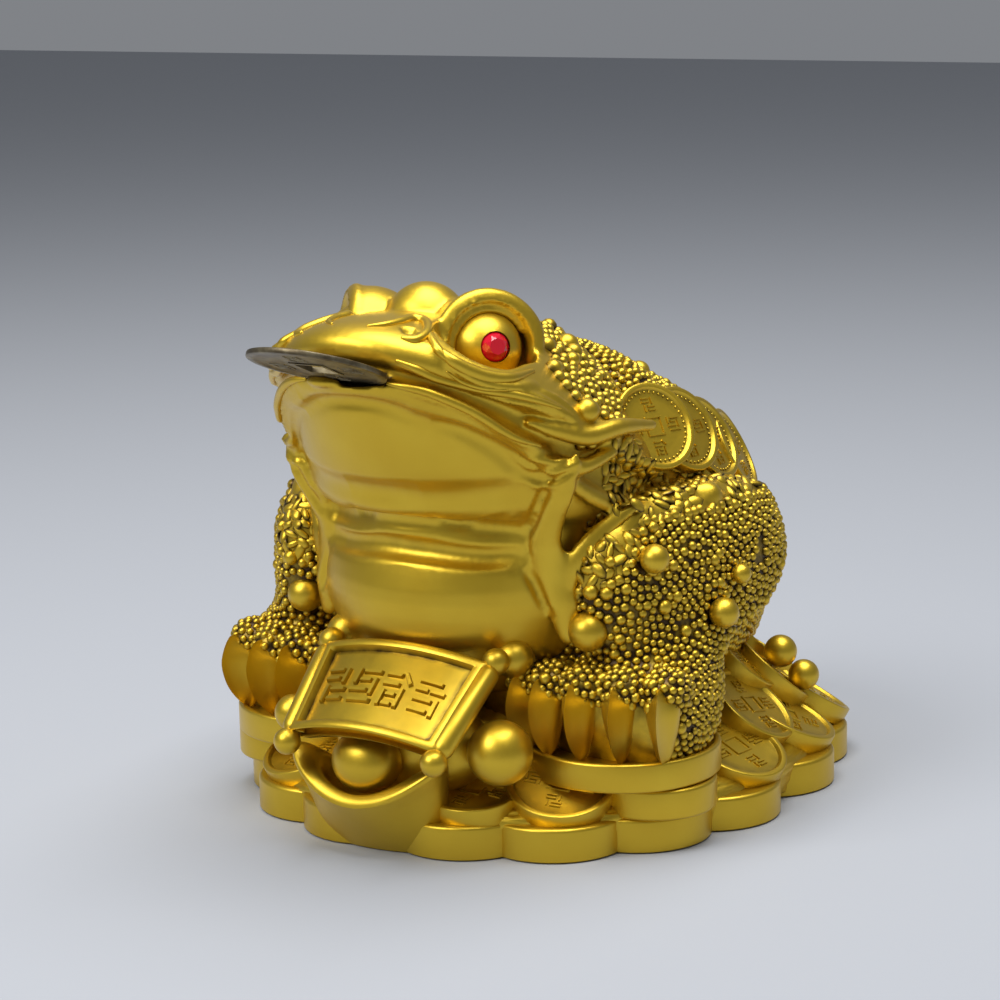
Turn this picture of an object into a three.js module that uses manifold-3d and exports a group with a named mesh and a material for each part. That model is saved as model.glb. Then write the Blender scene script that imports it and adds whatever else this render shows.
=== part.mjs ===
// A money toad: a three-legged toad sitting on a heap of coins with a loose coin in its mouth.
// The toad, heap, ingot, scroll and pearls are one gold-painted resin casting. The coin in the mouth
// and the two faceted eye stones are pieces of their own.
// Millimetres, +Z up. The toad faces -Y and its left side is +X.
import * as THREE from "three";
import { mergeVertices } from "three/addons/utils/BufferGeometryUtils.js";
import Module from "manifold-3d";

const wasm = await Module();
wasm.setup();

// Sizes that stand by themselves
const baseWidth = 102; // across the lowest ring of coins
const baseLength = 115; // front to back over the lowest ring of coins
const tierThickness = 5.8; // height of one tier of coins in the heap
const heapCoinRadius = 12.6; // radius of the blank coins in the lowest ring
const faceCoinThickness = 3.6; // of the struck coins that lean on the heap
const backCoinRadius = 7.8; // radius of the coins strung over the back
const backCoinThickness = 1.8;
const toadHeight = 94; // table to the top of the ball on the head
const mouthCoinDiameter = 22.6;
const mouthCoinThickness = 0.9;
const mouthCoinSides = 28;
const mouthCoinHole = 5.2; // side of its square hole
const mouthCoinReach = 6.8; // from the lower lip to the coin's centre
const mouthPitch = 21.5; // degrees that the mouth and its coin rise towards the front
const gemDiameter = 5;
const gemHeight = 2.4;
const clearance = 0.3; // around the pieces that sit in the casting
const ingotWidth = 30;
const ingotLength = 14;
const ingotHeight = 16.6; // table to the tips of its horns
const scrollTopWidth = 32.4;
const scrollBottomWidth = 29;
const scrollRollerRadius = 1.9;
const scrollOverhang = 3; // of a roller past each end of the panel

// The sculpt below is drawn for a figure 94 mm high and follows toadHeight
const drawnHeight = 94; // top of the ball on the head
const drawnSeat = 11.6; // the drawn height of the two rings of coins under the toad
const seat = 2 * tierThickness;
const k = (toadHeight - seat) / (drawnHeight - drawnSeat);
const at = (x, y, z) => new THREE.Vector3(x * k, y * k, seat + (z - drawnSeat) * k);
const radians = THREE.MathUtils.degToRad;

// A closed three.js geometry as a solid
function solid(geometry) {
  const bare = new THREE.BufferGeometry();
  bare.setAttribute("position", geometry.getAttribute("position").clone());
  bare.setIndex(geometry.getIndex());
  const merged = mergeVertices(bare, 1e-3);
  return new wasm.Manifold(
    new wasm.Mesh({
      numProp: 3,
      vertProperties: merged.attributes.position.array,
      triVerts: new Uint32Array(merged.index.array),
    }),
  );
}

const join = (solids) => solids.reduce((all, one) => all.add(one));

// Pockets closed off between the joined forms are filled, as in a solid casting
const filled = (body) => body.decompose().reduce((a, b) => (b.volume() > a.volume() ? b : a));

// The solid as a geometry again, with flat faces
function geometryOf(body) {
  const mesh = body.getMesh();
  const geometry = new THREE.BufferGeometry();
  geometry.setAttribute("position", new THREE.BufferAttribute(new Float32Array(mesh.vertProperties), 3));
  geometry.setIndex(new THREE.BufferAttribute(new Uint32Array(mesh.triVerts), 1));
  return geometry;
}

function placed(geometry, centre, turn = new THREE.Quaternion()) {
  geometry.applyQuaternion(turn);
  geometry.translate(centre.x, centre.y, centre.z);
  return solid(geometry);
}

// An ellipsoid of three radii, turned by degrees about X, then Y, then Z
function blob(centre, radii, turn = [0, 0, 0], around = 16, rows = 10) {
  const geometry = new THREE.SphereGeometry(1, around, rows);
  geometry.rotateX(Math.PI / 2);
  geometry.scale(...radii);
  const euler = new THREE.Euler(...turn.map(radians), "ZYX");
  return placed(geometry, centre, new THREE.Quaternion().setFromEuler(euler));
}

// The faces turned to look outward, whichever way round they were listed
function facingOut(points, faces) {
  let volume = 0;
  const normal = new THREE.Vector3();
  for (let i = 0; i < faces.length; i += 3) {
    const [a, b, c] = faces.slice(i, i + 3).map((n) => points[n]);
    volume += normal.crossVectors(b, c).dot(a);
  }
  return volume > 0 ? faces : faces.reverse();
}

// Closed rings of equal point counts, skinned one to the next, with a flat fan at each end
function skin(rings) {
  const count = rings[0].length;
  const points = rings.flat();
  const faces = [];
  for (let r = 0; r + 1 < rings.length; r++) {
    for (let i = 0; i < count; i++) {
      const j = (i + 1) % count;
      const a = r * count;
      const b = a + count;
      faces.push(a + i, a + j, b + j, a + i, b + j, b + i);
    }
  }
  const centreOf = (ring) => ring.reduce((sum, p) => sum.add(p), new THREE.Vector3()).divideScalar(count);
  const last = (rings.length - 1) * count;
  const low = points.push(centreOf(rings[0])) - 1;
  const high = points.push(centreOf(rings.at(-1))) - 1;
  for (let i = 0; i < count; i++) {
    const j = (i + 1) % count;
    faces.push(low, j, i, high, last + i, last + j);
  }
  const geometry = new THREE.BufferGeometry().setFromPoints(points);
  geometry.setIndex(facingOut(points, faces));
  return solid(geometry);
}

// A limb with round ends along a smooth curve, its radius following the given radii
function limb(path, radii, steps = 8, sides = 12) {
  const curve = new THREE.CatmullRomCurve3(path);
  const frames = curve.computeFrenetFrames(steps);
  const radiusAt = (t) => {
    const s = t * (radii.length - 1);
    const i = Math.min(Math.floor(s), radii.length - 2);
    return THREE.MathUtils.lerp(radii[i], radii[i + 1], s - i);
  };
  const ringAt = (t, index, shrink, push) =>
    Array.from({ length: sides }, (_, s) => {
      const angle = (s / sides) * 2 * Math.PI;
      const radius = radiusAt(t) * shrink;
      return curve
        .getPoint(t)
        .addScaledVector(frames.tangents[index], radiusAt(t) * push)
        .addScaledVector(frames.normals[index], Math.cos(angle) * radius)
        .addScaledVector(frames.binormals[index], Math.sin(angle) * radius);
    });
  const rings = [ringAt(0, 0, 0.6, -0.8)];
  for (let i = 0; i <= steps; i++) rings.push(ringAt(i / steps, i, 1, 0));
  rings.push(ringAt(1, steps, 0.6, 0.8));
  return skin(rings);
}

// A disc whose axis points along a direction
function disc(centre, axis, radius, thickness, sides = 22) {
  const geometry = new THREE.CylinderGeometry(radius, radius, thickness, sides);
  const turn = new THREE.Quaternion().setFromUnitVectors(
    new THREE.Vector3(0, 1, 0),
    axis.clone().normalize(),
  );
  return placed(geometry, centre, turn);
}

// A square bar through a disc, for a coin's hole
function squareBar(centre, axis, side, depth) {
  const turn = new THREE.Quaternion().setFromUnitVectors(
    new THREE.Vector3(0, 1, 0),
    axis.clone().normalize(),
  );
  return placed(new THREE.BoxGeometry(side, depth, side), centre, turn);
}

// Head and throat: tilted oval rings from the foot of the belly up to the crown.
// Each row: front y and z, fall of z per mm towards the back, half width, length to the widest point
const headRows = [
  [-40, 24, 0, 20, 20],
  [-47, 30, 0, 24.5, 27],
  [-50.6, 40, 0, 28.4, 30],
  [-48.6, 51.4, 0.02, 29.6, 28],
  [-53.5, 56.6, 0.08, 31, 33],
  [-59, 66, 0.25, 32, 38],
  [-62.6, 74.5, 0.46, 31.8, 41.5],
  [-65.4, 79.4, 0.56, 32.4, 43.6],
  [-65.6, 81, 0.57, 32.3, 43.8],
  [-62.8, 81.8, 0.57, 30, 41],
  [-63.2, 85, 0.54, 30.4, 41.4],
  [-66.6, 86, 0.54, 32.4, 44.6],
  [-67, 87.8, 0.53, 32.4, 45],
  [-64, 89.6, 0.5, 29.5, 42.6],
  [-57, 90.4, 0.36, 22, 36],
  [-47, 89.8, 0.2, 12, 25],
];
const headSides = 18;
const headBack = 14; // how far the rings run back into the body

function headAndThroat() {
  const rings = headRows.map(([front, height, fall, half, length]) =>
    Array.from({ length: headSides }, (_, i) => {
      const t = (i / headSides) * 2 * Math.PI;
      const reach = Math.cos(t) > 0 ? length : headBack;
      const back = length - reach * Math.cos(t);
      return at(half * Math.sin(t), front + back, height - fall * back);
    }),
  );
  return skin(rings);
}

// Torso: upright ovals from the chest to the rump. Each row: y, half width, top z
const torsoRows = [
  [-36, 20, 70],
  [-28, 29, 76],
  [-14, 35, 78],
  [0, 36.5, 76.5],
  [12, 35.4, 73.4],
  [24, 31.6, 66.6],
  [35, 26, 58],
  [44, 18, 46],
  [50, 7, 33],
];
const torsoFloor = 8;
const torsoSides = 16;
const torsoPower = 0.88; // under 1 makes the ovals a little square

function torsoPoint([y, half, top], t) {
  const squared = (c) => Math.sign(c) * Math.abs(c) ** torsoPower;
  const middle = (top + torsoFloor) / 2;
  return at(half * squared(Math.sin(t)), y, middle + (top - middle) * squared(Math.cos(t)));
}

function torso() {
  return skin(
    torsoRows.map((row) =>
      Array.from({ length: torsoSides }, (_, i) => torsoPoint(row, (i / torsoSides) * 2 * Math.PI)),
    ),
  );
}

const mirrored = ([x, y, z], side) => at(side * x, y, z);
const scaled = (radii) => radii.map((r) => r * k);

// A place on the torso's skin: drawn y, degrees down from the ridge (negative on the toad's right)
function onTorso(y, degrees) {
  const next = torsoRows.findIndex((row) => row[0] > y);
  const [low, high] = [torsoRows[next - 1], torsoRows[next]];
  const share = (y - low[0]) / (high[0] - low[0]);
  const row = low.map((value, i) => THREE.MathUtils.lerp(value, high[i], share));
  return torsoPoint(row, radians(degrees));
}

// Eye: a hollow in the cheek, and in it a bulge, the ball and the hooded brow over it
const eyeHollow = [18.4, -48, 89];
const eyeHollowRadii = [10, 10, 7.6];
const eyeCentre = [11.8, -41, 83.6];
const eyeRadius = 6.4;
const gazeTurn = 52; // degrees from straight ahead
const gazeLift = 10;

function gaze(side) {
  const turn = radians(gazeTurn);
  const lift = radians(gazeLift);
  return new THREE.Vector3(
    side * Math.sin(turn) * Math.cos(lift),
    -Math.cos(turn) * Math.cos(lift),
    Math.sin(lift),
  );
}

function hollow(side) {
  return blob(mirrored(eyeHollow, side), scaled(eyeHollowRadii), [0, 0, 0], 12, 8);
}

function eye(side) {
  const centre = mirrored(eyeCentre, side);
  const forward = gaze(side);
  const across = new THREE.Vector3().crossVectors(forward, new THREE.Vector3(0, 0, 1)).normalize();
  const up = new THREE.Vector3().crossVectors(across, forward);
  const arc = (radius, push, from, to, thick, steps = 9) => {
    const path = Array.from({ length: 5 }, (_, i) => {
      const angle = radians(THREE.MathUtils.lerp(from, to, i / 4));
      return centre
        .clone()
        .addScaledVector(forward, push * k)
        .addScaledVector(across, Math.cos(angle) * radius * k)
        .addScaledVector(up, Math.sin(angle) * radius * k);
    });
    return limb(path, scaled(thick), steps, 5);
  };
  const bulge = centre.clone().addScaledVector(forward, -3.6 * k);
  return join([
    blob(centre, scaled([eyeRadius, eyeRadius, eyeRadius]), [0, 0, 0], 10, 6),
    blob(bulge, scaled([8.2, 8.2, 8.4]), [0, 0, 0], 8, 6),
    arc(7.9, 0.6, -20, 190, [1.1, 1.6, 1.7, 1.6, 1.1], 6),
  ]);
}

// The ball on the crown of the head
const crownBall = [0, -40, 87.6];
const crownBallRadius = 6.4;

// The nostril's curl on the snout
function nostril(side) {
  const path = [
    [3.5, -61, 89.6],
    [6.5, -55.5, 89.2],
    [9, -52.5, 87.6],
    [9.4, -55.5, 85.8],
  ].map((p) => mirrored(p, side));
  return limb(path, scaled([0.5, 1, 1.2, 0.7]), 4, 5);
}

// Folds at the corner of the mouth and the barbel that sweeps back from it
function mouthCorner(side) {
  const barbel = [
    [25.5, -47, 71],
    [29, -40.5, 69.8],
    [32, -33, 69.4],
    [33.6, -21, 68.8],
  ].map((p) => mirrored(p, side));
  const fold = [
    [26, -45.5, 67],
    [29.3, -40, 65.4],
    [31.4, -32, 66.4],
  ].map((p) => mirrored(p, side));
  return join([
    limb(barbel, scaled([1.3, 2.2, 2, 0.9]), 4, 5),
    limb(fold, scaled([1.4, 2.3, 1.4]), 3, 5),
  ]);
}

// Two straps of skin that meet beside the belly: one from the mouth corner, one from the shoulder
function neckStraps(side) {
  const fromMouth = [
    [28.5, -43.5, 65],
    [25, -41, 57],
    [23.4, -38, 50],
    [26.5, -37.5, 41],
  ].map((p) => mirrored(p, side));
  const fromShoulder = [
    [35, -29, 56.4],
    [32.6, -35, 51],
    [27.5, -38, 44],
  ].map((p) => mirrored(p, side));
  return join([
    limb(fromMouth, scaled([2, 2.7, 2.3, 1.6]), 4, 5),
    limb(fromShoulder, scaled([1.5, 2.3, 1.5]), 2, 5),
  ]);
}

// Foreleg: level ovals from the sole of the paw, in at the wrist, out to the elbow and up to the
// shoulder. Each row: z, nearest and farthest x from the middle, front and back y, how far the oval
// swings out per mm towards the back, and its power (1 is an ellipse, lower is squarer)
const legRows = [
  [14, 20, 43, -39, -20.5, 0, 0.8],
  [18, 17.5, 45, -41.5, -17, 0, 0.7],
  [24, 17.5, 45, -41.5, -12.5, 0, 0.7],
  [28.5, 20.5, 44, -39, -10.5, 0, 0.8],
  [31.5, 25, 42.8, -36, -8, 0.12, 0.9],
  [36, 26, 42.8, -37.5, 5, 0.2, 0.9],
  [42.5, 25.5, 43.2, -38.5, 10, 0.2, 0.9],
  [49, 26, 42.4, -38, 9, 0.2, 0.9],
  [54.5, 28, 40.4, -33.5, 6, 0.2, 0.9],
  [58, 32, 37.6, -24, -6, 0.2, 0.9],
];
const legSides = 12;
const toeSpread = [16.8, 22.5, 28.7, 35, 41.2];
const knuckleHeight = 27.4;
const clawFoot = 17;
const clawRadius = 3.2;

function foreleg(side) {
  const rings = legRows.map(([z, inner, outer, front, back, swing, power]) =>
    Array.from({ length: legSides }, (_, i) => {
      const t = (i / legSides) * 2 * Math.PI;
      const squared = (c) => Math.sign(c) * Math.abs(c) ** power;
      const reach = ((back - front) / 2) * squared(Math.sin(t));
      const y = (front + back) / 2 + reach;
      const x = (inner + outer) / 2 + ((outer - inner) / 2) * squared(Math.cos(t)) + swing * reach;
      return at(side * x, y, z);
    }),
  );
  const parts = [skin(rings)];
  for (const x of toeSpread) {
    const front = -42 + Math.abs(x - 30) * 0.1;
    const claw = mirrored([x, front - 0.4, (knuckleHeight + clawFoot) / 2 + 0.6], side);
    const clawHalf = (knuckleHeight - clawFoot) / 2 + 1.4;
    parts.push(blob(claw, scaled([clawRadius, 3.2, clawHalf]), [-8, 0, 0], 6, 4));
  }
  return join(parts);
}

// Hind leg: the single leg behind, bent under the rump with three toes
function hindLeg() {
  const toes = [-1, 0, 1].map((spread) => {
    const centre = at(spread * 7.6, 52.5 - Math.abs(spread) * 2, 16);
    return blob(centre, scaled([3.6, 6.4, 3.4]), [0, 0, -spread * 26], 6, 4);
  });
  return join([blob(at(0, 44.5, 27), scaled([11.5, 10, 14]), [0, 0, 0], 8, 6), ...toes]);
}

// Warts: large round ones on legs, cheeks and back. Each: place, radius
const leftWarts = [
  [[29, -37.8, 36.8], 3.6],
  [[38.8, -32.6, 49], 2.7],
  [[44.4, -18.5, 37.4], 2.8],
  [[45.2, -13.5, 43.2], 1.9],
  [[27.4, -36.5, 73], 2.2],
];
const rightWarts = [
  [[-28.5, -36.5, 37], 3.2],
  [[-44.6, -19, 44], 2.2],
  [[-45.6, -8, 38], 2.4],
  [[-27.4, -36.5, 73], 2.2],
];
// On the back. Each: y, degrees down from the ridge, radius
const backWarts = [
  [-6, 16, 2.3],
  [9, 20, 2],
  [4, -14, 2.2],
  [18, 16, 2],
];

function warts() {
  const bump = (centre, r) => blob(centre, scaled([r, r, r]), [0, 0, 0], r > 2.5 ? 7 : 6, 4);
  return join([
    ...[...leftWarts, ...rightWarts].map(([p, r]) => bump(at(...p), r)),
    ...backWarts.map(([y, degrees, r]) => bump(onTorso(y, degrees), r)),
  ]);
}

// A struck coin: a disc whose face sinks inside its rim
function struckCoin(centre, normal, radius, thickness, sides) {
  const half = thickness / 2;
  const profile = [
    [0, -half],
    [radius, -half],
    [radius, half],
    [radius * 0.82, half - 0.6],
    [0, half - 0.6],
  ].map(([r, h]) => new THREE.Vector2(r, h));
  const turn = new THREE.Quaternion().setFromUnitVectors(new THREE.Vector3(0, 1, 0), normal);
  return placed(new THREE.LatheGeometry(profile, sides), centre, turn);
}

// Coins strung over each side of the back. Each: place and the way the face looks
const backCoins = [
  [[30.8, -17.5, 68], [0.8, -0.37, 0.47]],
  [[31.4, -8, 66], [0.86, -0.15, 0.48]],
  [[31.2, 2, 62.8], [0.87, 0.05, 0.48]],
  [[29.6, 12, 58.4], [0.84, 0.28, 0.46]],
];

function coinString(side) {
  return join(
    backCoins.map(([place, way]) => {
      const normal = new THREE.Vector3(side * way[0], way[1], way[2]).normalize();
      return struckCoin(mirrored(place, side), normal, backCoinRadius, backCoinThickness, 8);
    }),
  );
}

// Heap: a ring of thick blank coins, a ring of struck coins leaning out on it, then steeper ones
const ringCoins = 16;
const ringShift = 0.456; // of a coin's place, turns the ring so a coin lies below each paw

// A place round the heap: turns of the ring, inset from its outline, height
function roundHeap(turns, inset, z) {
  const t = turns * 2 * Math.PI;
  const rounded = (c) => Math.sign(c) * Math.abs(c) ** 0.87;
  return new THREE.Vector3(
    (baseWidth / 2 - inset) * rounded(Math.cos(t)),
    (baseLength / 2 - inset) * rounded(Math.sin(t)),
    z,
  );
}

// The lowest ring is one scalloped slab: the outer arcs of its overlapping coins
function blankRing() {
  const centre = (i) => roundHeap((i + ringShift) / ringCoins, heapCoinRadius, 0);
  const notch = (i) => {
    const [a, b] = [centre(i), centre(i + 1)];
    const middle = a.clone().lerp(b, 0.5);
    const out = new THREE.Vector3(b.y - a.y, a.x - b.x, 0).normalize();
    const half = a.distanceTo(b) / 2;
    return middle.addScaledVector(out, Math.sqrt(heapCoinRadius ** 2 - half ** 2));
  };
  const arcSteps = 4;
  const outline = Array.from({ length: ringCoins }, (_, i) => {
    const hub = centre(i);
    const from = notch(i - 1).sub(hub);
    const sweep = from.angleTo(notch(i).sub(hub));
    return Array.from({ length: arcSteps }, (_, s) =>
      from.clone().applyAxisAngle(new THREE.Vector3(0, 0, 1), (sweep * s) / arcSteps).add(hub),
    );
  }).flat();
  const raised = outline.map((p) => p.clone().setZ(tierThickness));
  return skin([outline, raised]);
}

// A struck coin on the heap, its face leaning outward by degrees
function leaningCoin(turns, inset, z, lean, radius) {
  const centre = roundHeap(turns, inset, z);
  const normal = new THREE.Vector3(centre.x, centre.y, 0).normalize();
  normal.multiplyScalar(Math.sin(radians(lean)));
  normal.z = Math.cos(radians(lean));
  return struckCoin(centre, normal, radius, faceCoinThickness, 8);
}

// Rows of leaning coins, which also stand mirrored on the other side. Each: places in the ring, inset,
// height over the lowest ring, lean, radius
const leaningRows = [
  [[-3.85], 9.8, 2.8, 12, 8.8],
  [[-2.95, -0.8, 0.15, 1.15, 2.15, 3.15], 9.6, 4.3, 26, 9.2],
  [[-1.93], 8, 2.4, 6, 10],
  [[-0.3], 14.5, 6.8, 32, 8.6],
  [[0.8], 14.8, 8.6, 32, 8.6],
];
const rearCoin = [3.544, 15, 9, 32, 9];

function heapCoins() {
  const coin = (place, [inset, rise, lean, radius]) =>
    leaningCoin((place + ringShift) / ringCoins, inset, tierThickness + rise, lean, radius);
  const across = (place) => ringCoins / 2 - 2 * ringShift - place;
  return join([
    coin(rearCoin[0], rearCoin.slice(1)),
    ...leaningRows.flatMap(([places, ...size]) =>
      places.flatMap((place) => [coin(place, size), coin(across(place), size)]),
    ),
  ]);
}

// The mound under the toad. It fills the heap below the coins. Each: height, inset from the outline
const moundRows = [
  [1, 4.5],
  [6, 3.6],
  [7.6, 5],
  [10, 9.6],
  [17, 14],
  [23, 22.5],
  [28, 35],
];
const moundSides = 20;
// The plate below each paw
const plateCentre = [29.8, -27.7, 13.6];
const plateRadius = 16.6;
const plateThickness = 5;

function mound() {
  const plates = [1, -1].map((side) =>
    disc(mirrored(plateCentre, side), new THREE.Vector3(0, 0, 1), plateRadius, plateThickness, 18),
  );
  const rings = moundRows.map(([height, inset]) =>
    Array.from({ length: moundSides }, (_, i) => roundHeap(i / moundSides, inset, at(0, 0, height).z)),
  );
  return join([skin(rings), ...plates]);
}

// Pearls in the heap. Each: place, radius
const pearls = [
  [[19.2, -50.7, 18], 5.5],
  [[-21.5, -51.5, 20], 3.2],
  [[16.8, -41.5, 31.6], 3.3],
  [[-16.8, -41.5, 32.6], 3.3],
  [[37.5, 16, 24.5], 3],
  [[-37.5, 16, 24.5], 3],
  [[35, 27, 20], 2.8],
  [[-35, 27, 20], 2.8],
];

function pearlBalls() {
  return join(
    pearls.map(([p, r]) => {
      const sides = r > 4 ? [10, 6] : [7, 4];
      return blob(at(...p), scaled([r, r, r]), [0, 0, 0], ...sides);
    }),
  );
}

// Boat-shaped ingot with an egg in it, at the front of the heap and leaning forward over its foot
const ingotCentre = [-2.8, -56.4]; // of its rim, a little to the toad's right of the middle
const ingotSides = 12;
// Each: half width, half depth, height at front, height at the horns and how far the row stands
// back, as shares of the ingot's own width, depth, height and half depth
const ingotRows = [
  [0.9, 0.74, 0, 0, 0.72],
  [0.93, 0.85, 0.2, 0.3, 0.5],
  [0.97, 0.96, 0.42, 0.74, 0.2],
  [1, 1, 0.56, 1, 0],
  [0.84, 0.7, 0.56, 0.96, 0],
  [0.7, 0.5, 0.3, 0.5, 0],
];
const eggRadii = [7, 5.8, 6];

function ingot() {
  const [x, y] = ingotCentre.map((place) => place * k);
  const rings = ingotRows.map(([wide, deep, low, high, back]) =>
    Array.from({ length: ingotSides }, (_, i) => {
      const t = (i / ingotSides) * 2 * Math.PI;
      return new THREE.Vector3(
        x + (ingotWidth / 2) * wide * Math.cos(t),
        y + (ingotLength / 2) * (deep * Math.sin(t) + back),
        ingotHeight * THREE.MathUtils.lerp(low, high, Math.cos(t) ** 2),
      );
    }),
  );
  const egg = new THREE.Vector3(x, y, ingotHeight * 0.95);
  return join([skin(rings), blob(egg, eggRadii, [0, 0, 0], 10, 7)]);
}

// The scroll: an arched panel between two rollers, leaning on the heap over the ingot
const scrollTop = [0, -47.6, 31.4];
const scrollFoot = [0, -62.6, 19.8];
const scrollArch = 3.2;
const scrollThickness = 3;

function scroll() {
  const top = at(...scrollTop);
  const foot = at(...scrollFoot);
  const along = top.clone().sub(foot).normalize();
  const across = new THREE.Vector3(1, 0, 0);
  const out = new THREE.Vector3().crossVectors(across, along).normalize();
  const steps = 4;
  const edge = (end, half, lift) =>
    Array.from({ length: steps + 1 }, (_, i) => {
      const s = (i / steps) * 2 - 1;
      return end
        .clone()
        .addScaledVector(across, s * half)
        .addScaledVector(out, scrollArch * (1 - s * s) + lift);
    });
  const slab = (grow, low, high) => {
    const halfFoot = (scrollBottomWidth / 2) * grow;
    const halfTop = (scrollTopWidth / 2) * grow;
    const near = foot.clone().lerp(top, (1 - grow) / 2);
    const far = top.clone().lerp(foot, (1 - grow) / 2);
    const loop = (a, half) => [...edge(a, half, low), ...edge(a, half, high).reverse()];
    return skin([loop(near, halfFoot), loop(far, halfTop)]);
  };
  const panel = slab(1, -scrollThickness * 2, scrollThickness / 2).subtract(
    slab(0.84, scrollThickness / 2 - 0.9, scrollThickness),
  );
  const rollers = [1, -1].map((side) => {
    const low = foot.clone().addScaledVector(across, (side * scrollBottomWidth) / 2);
    const high = top.clone().addScaledVector(across, (side * scrollTopWidth) / 2);
    const length = low.distanceTo(high) + 2 * scrollOverhang;
    return disc(low.clone().lerp(high, 0.5), high.sub(low), scrollRollerRadius, length, 8);
  });
  return join([panel, ...rollers]);
}

// The toad's mouth coin: where it lies, which way its face looks
const pitch = radians(mouthPitch);
const lipFront = at(0, -66, 84.4);
const mouthCoinAxis = new THREE.Vector3(0, Math.sin(pitch), Math.cos(pitch));
const mouthCoinCentre = lipFront
  .clone()
  .add(new THREE.Vector3(0, -mouthCoinReach * Math.cos(pitch), 0));

function mouthCoin() {
  const radius = mouthCoinDiameter / 2;
  const round = disc(mouthCoinCentre, mouthCoinAxis, radius, mouthCoinThickness, mouthCoinSides);
  return round.subtract(squareBar(mouthCoinCentre, mouthCoinAxis, mouthCoinHole, mouthCoinThickness * 3));
}

function mouthSlot() {
  return disc(
    mouthCoinCentre,
    mouthCoinAxis,
    mouthCoinDiameter / 2 + clearance,
    mouthCoinThickness + 2 * clearance,
    mouthCoinSides,
  );
}

// Eye stone: a flat-backed round stone with a faceted crown
function gemFrame(side) {
  const forward = gaze(side);
  const centre = mirrored(eyeCentre, side).addScaledVector(forward, (eyeRadius - 0.9) * k);
  return { centre, forward };
}

function gem(side) {
  const { centre, forward } = gemFrame(side);
  const half = gemHeight / 2;
  const outline = [
    [0, -half],
    [gemDiameter / 2, -half],
    [gemDiameter / 2, -half * 0.3],
    [gemDiameter * 0.3, half],
    [0, half],
  ].map(([r, h]) => new THREE.Vector2(r, h));
  const turn = new THREE.Quaternion().setFromUnitVectors(new THREE.Vector3(0, 1, 0), forward);
  return placed(new THREE.LatheGeometry(outline, 12), centre, turn);
}

function gemSocket(side) {
  const { centre, forward } = gemFrame(side);
  return disc(centre, forward, gemDiameter / 2 + clearance, gemHeight + 2 * clearance, 18);
}

function casting() {
  const crown = scaled([crownBallRadius, crownBallRadius, crownBallRadius]);
  const toad = join([
    headAndThroat().subtract(join([hollow(1), hollow(-1)])),
    torso(),
    blob(at(...crownBall), crown, [0, 0, 0], 10, 8),
    hindLeg(),
    warts(),
    ...[1, -1].flatMap((side) => [
      eye(side),
      nostril(side),
      mouthCorner(side),
      neckStraps(side),
      foreleg(side),
      coinString(side),
    ]),
  ]);
  const heap = join([blankRing(), heapCoins(), mound(), pearlBalls(), ingot(), scroll()]);
  return filled(join([toad, heap]).subtract(join([mouthSlot(), gemSocket(1), gemSocket(-1)])));
}

const gold = new THREE.MeshStandardMaterial({ color: 0xc9a227, roughness: 0.42, metalness: 0.75 });
const oldBrass = new THREE.MeshStandardMaterial({ color: 0x5c5140, roughness: 0.55, metalness: 0.8 });
const redGlass = new THREE.MeshStandardMaterial({ color: 0xd01830, roughness: 0.08, metalness: 0 });

const figure = new THREE.Group();

function piece(name, body, material) {
  const mesh = new THREE.Mesh(geometryOf(body), material);
  mesh.name = name;
  figure.add(mesh);
}

piece("toad_casting", casting(), gold);
piece("mouth_coin", mouthCoin(), oldBrass);
piece("left_eye_stone", gem(1), redGlass);
piece("right_eye_stone", gem(-1), redGlass);

// The frame's origin is on the table under the middle of the whole figure
const whole = new THREE.Box3().setFromObject(figure);
const middle = whole.getCenter(new THREE.Vector3());
figure.position.set(-middle.x, -middle.y, -whole.min.z);

export default figure;
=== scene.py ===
import math

import bmesh
import bpy
import numpy as np
from mathutils import Matrix, Vector
from mathutils.kdtree import KDTree


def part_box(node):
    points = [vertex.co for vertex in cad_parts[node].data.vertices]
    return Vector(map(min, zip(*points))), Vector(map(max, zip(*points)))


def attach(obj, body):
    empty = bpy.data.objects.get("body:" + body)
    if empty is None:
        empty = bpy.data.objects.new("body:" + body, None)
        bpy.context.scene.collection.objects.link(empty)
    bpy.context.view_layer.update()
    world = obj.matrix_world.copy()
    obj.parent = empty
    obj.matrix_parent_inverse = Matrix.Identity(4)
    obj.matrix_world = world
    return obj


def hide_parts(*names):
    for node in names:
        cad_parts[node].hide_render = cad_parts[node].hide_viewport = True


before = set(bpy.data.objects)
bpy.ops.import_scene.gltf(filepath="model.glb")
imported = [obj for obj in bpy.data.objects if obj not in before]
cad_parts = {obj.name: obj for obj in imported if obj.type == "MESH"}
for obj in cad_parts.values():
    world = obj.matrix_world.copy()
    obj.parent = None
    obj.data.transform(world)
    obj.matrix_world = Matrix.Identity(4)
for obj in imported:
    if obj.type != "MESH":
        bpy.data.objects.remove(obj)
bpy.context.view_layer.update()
dice = np.random.default_rng(11)

# All sizes below are mm, round the toad's own middle: x to its left, y to its rump, z up.
mouthCoin = {
    "radius": 11.3,
    "thickness": 0.9,
    "hole": 5.2,
    "pitch": math.radians(21.5),
    "reach": 6.8,
    "lip": (0, -66, 84.4),
    "rim": 1.2,
    "sunk": 0.16,
    "slope": 0.3,
    "edge": 0.2,
    "frame": 1.3,  # of the raised frame round the hole, both sides together
    "marks": (6.4, 1.7, 0.42, 0.2),  # from the middle, half size, stroke width and height
}
coinLow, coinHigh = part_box("mouth_coin")
coinY = mouthCoin["lip"][1] - mouthCoin["reach"] * math.cos(mouthCoin["pitch"])
setBack = (coinLow.y + coinHigh.y) * 500 - coinY  # where that middle stands in the frame


def place(points):  # mm to metres in the frame
    return (np.atleast_2d(np.asarray(points, float)) + (0, setBack, 0)) * 0.001


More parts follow.
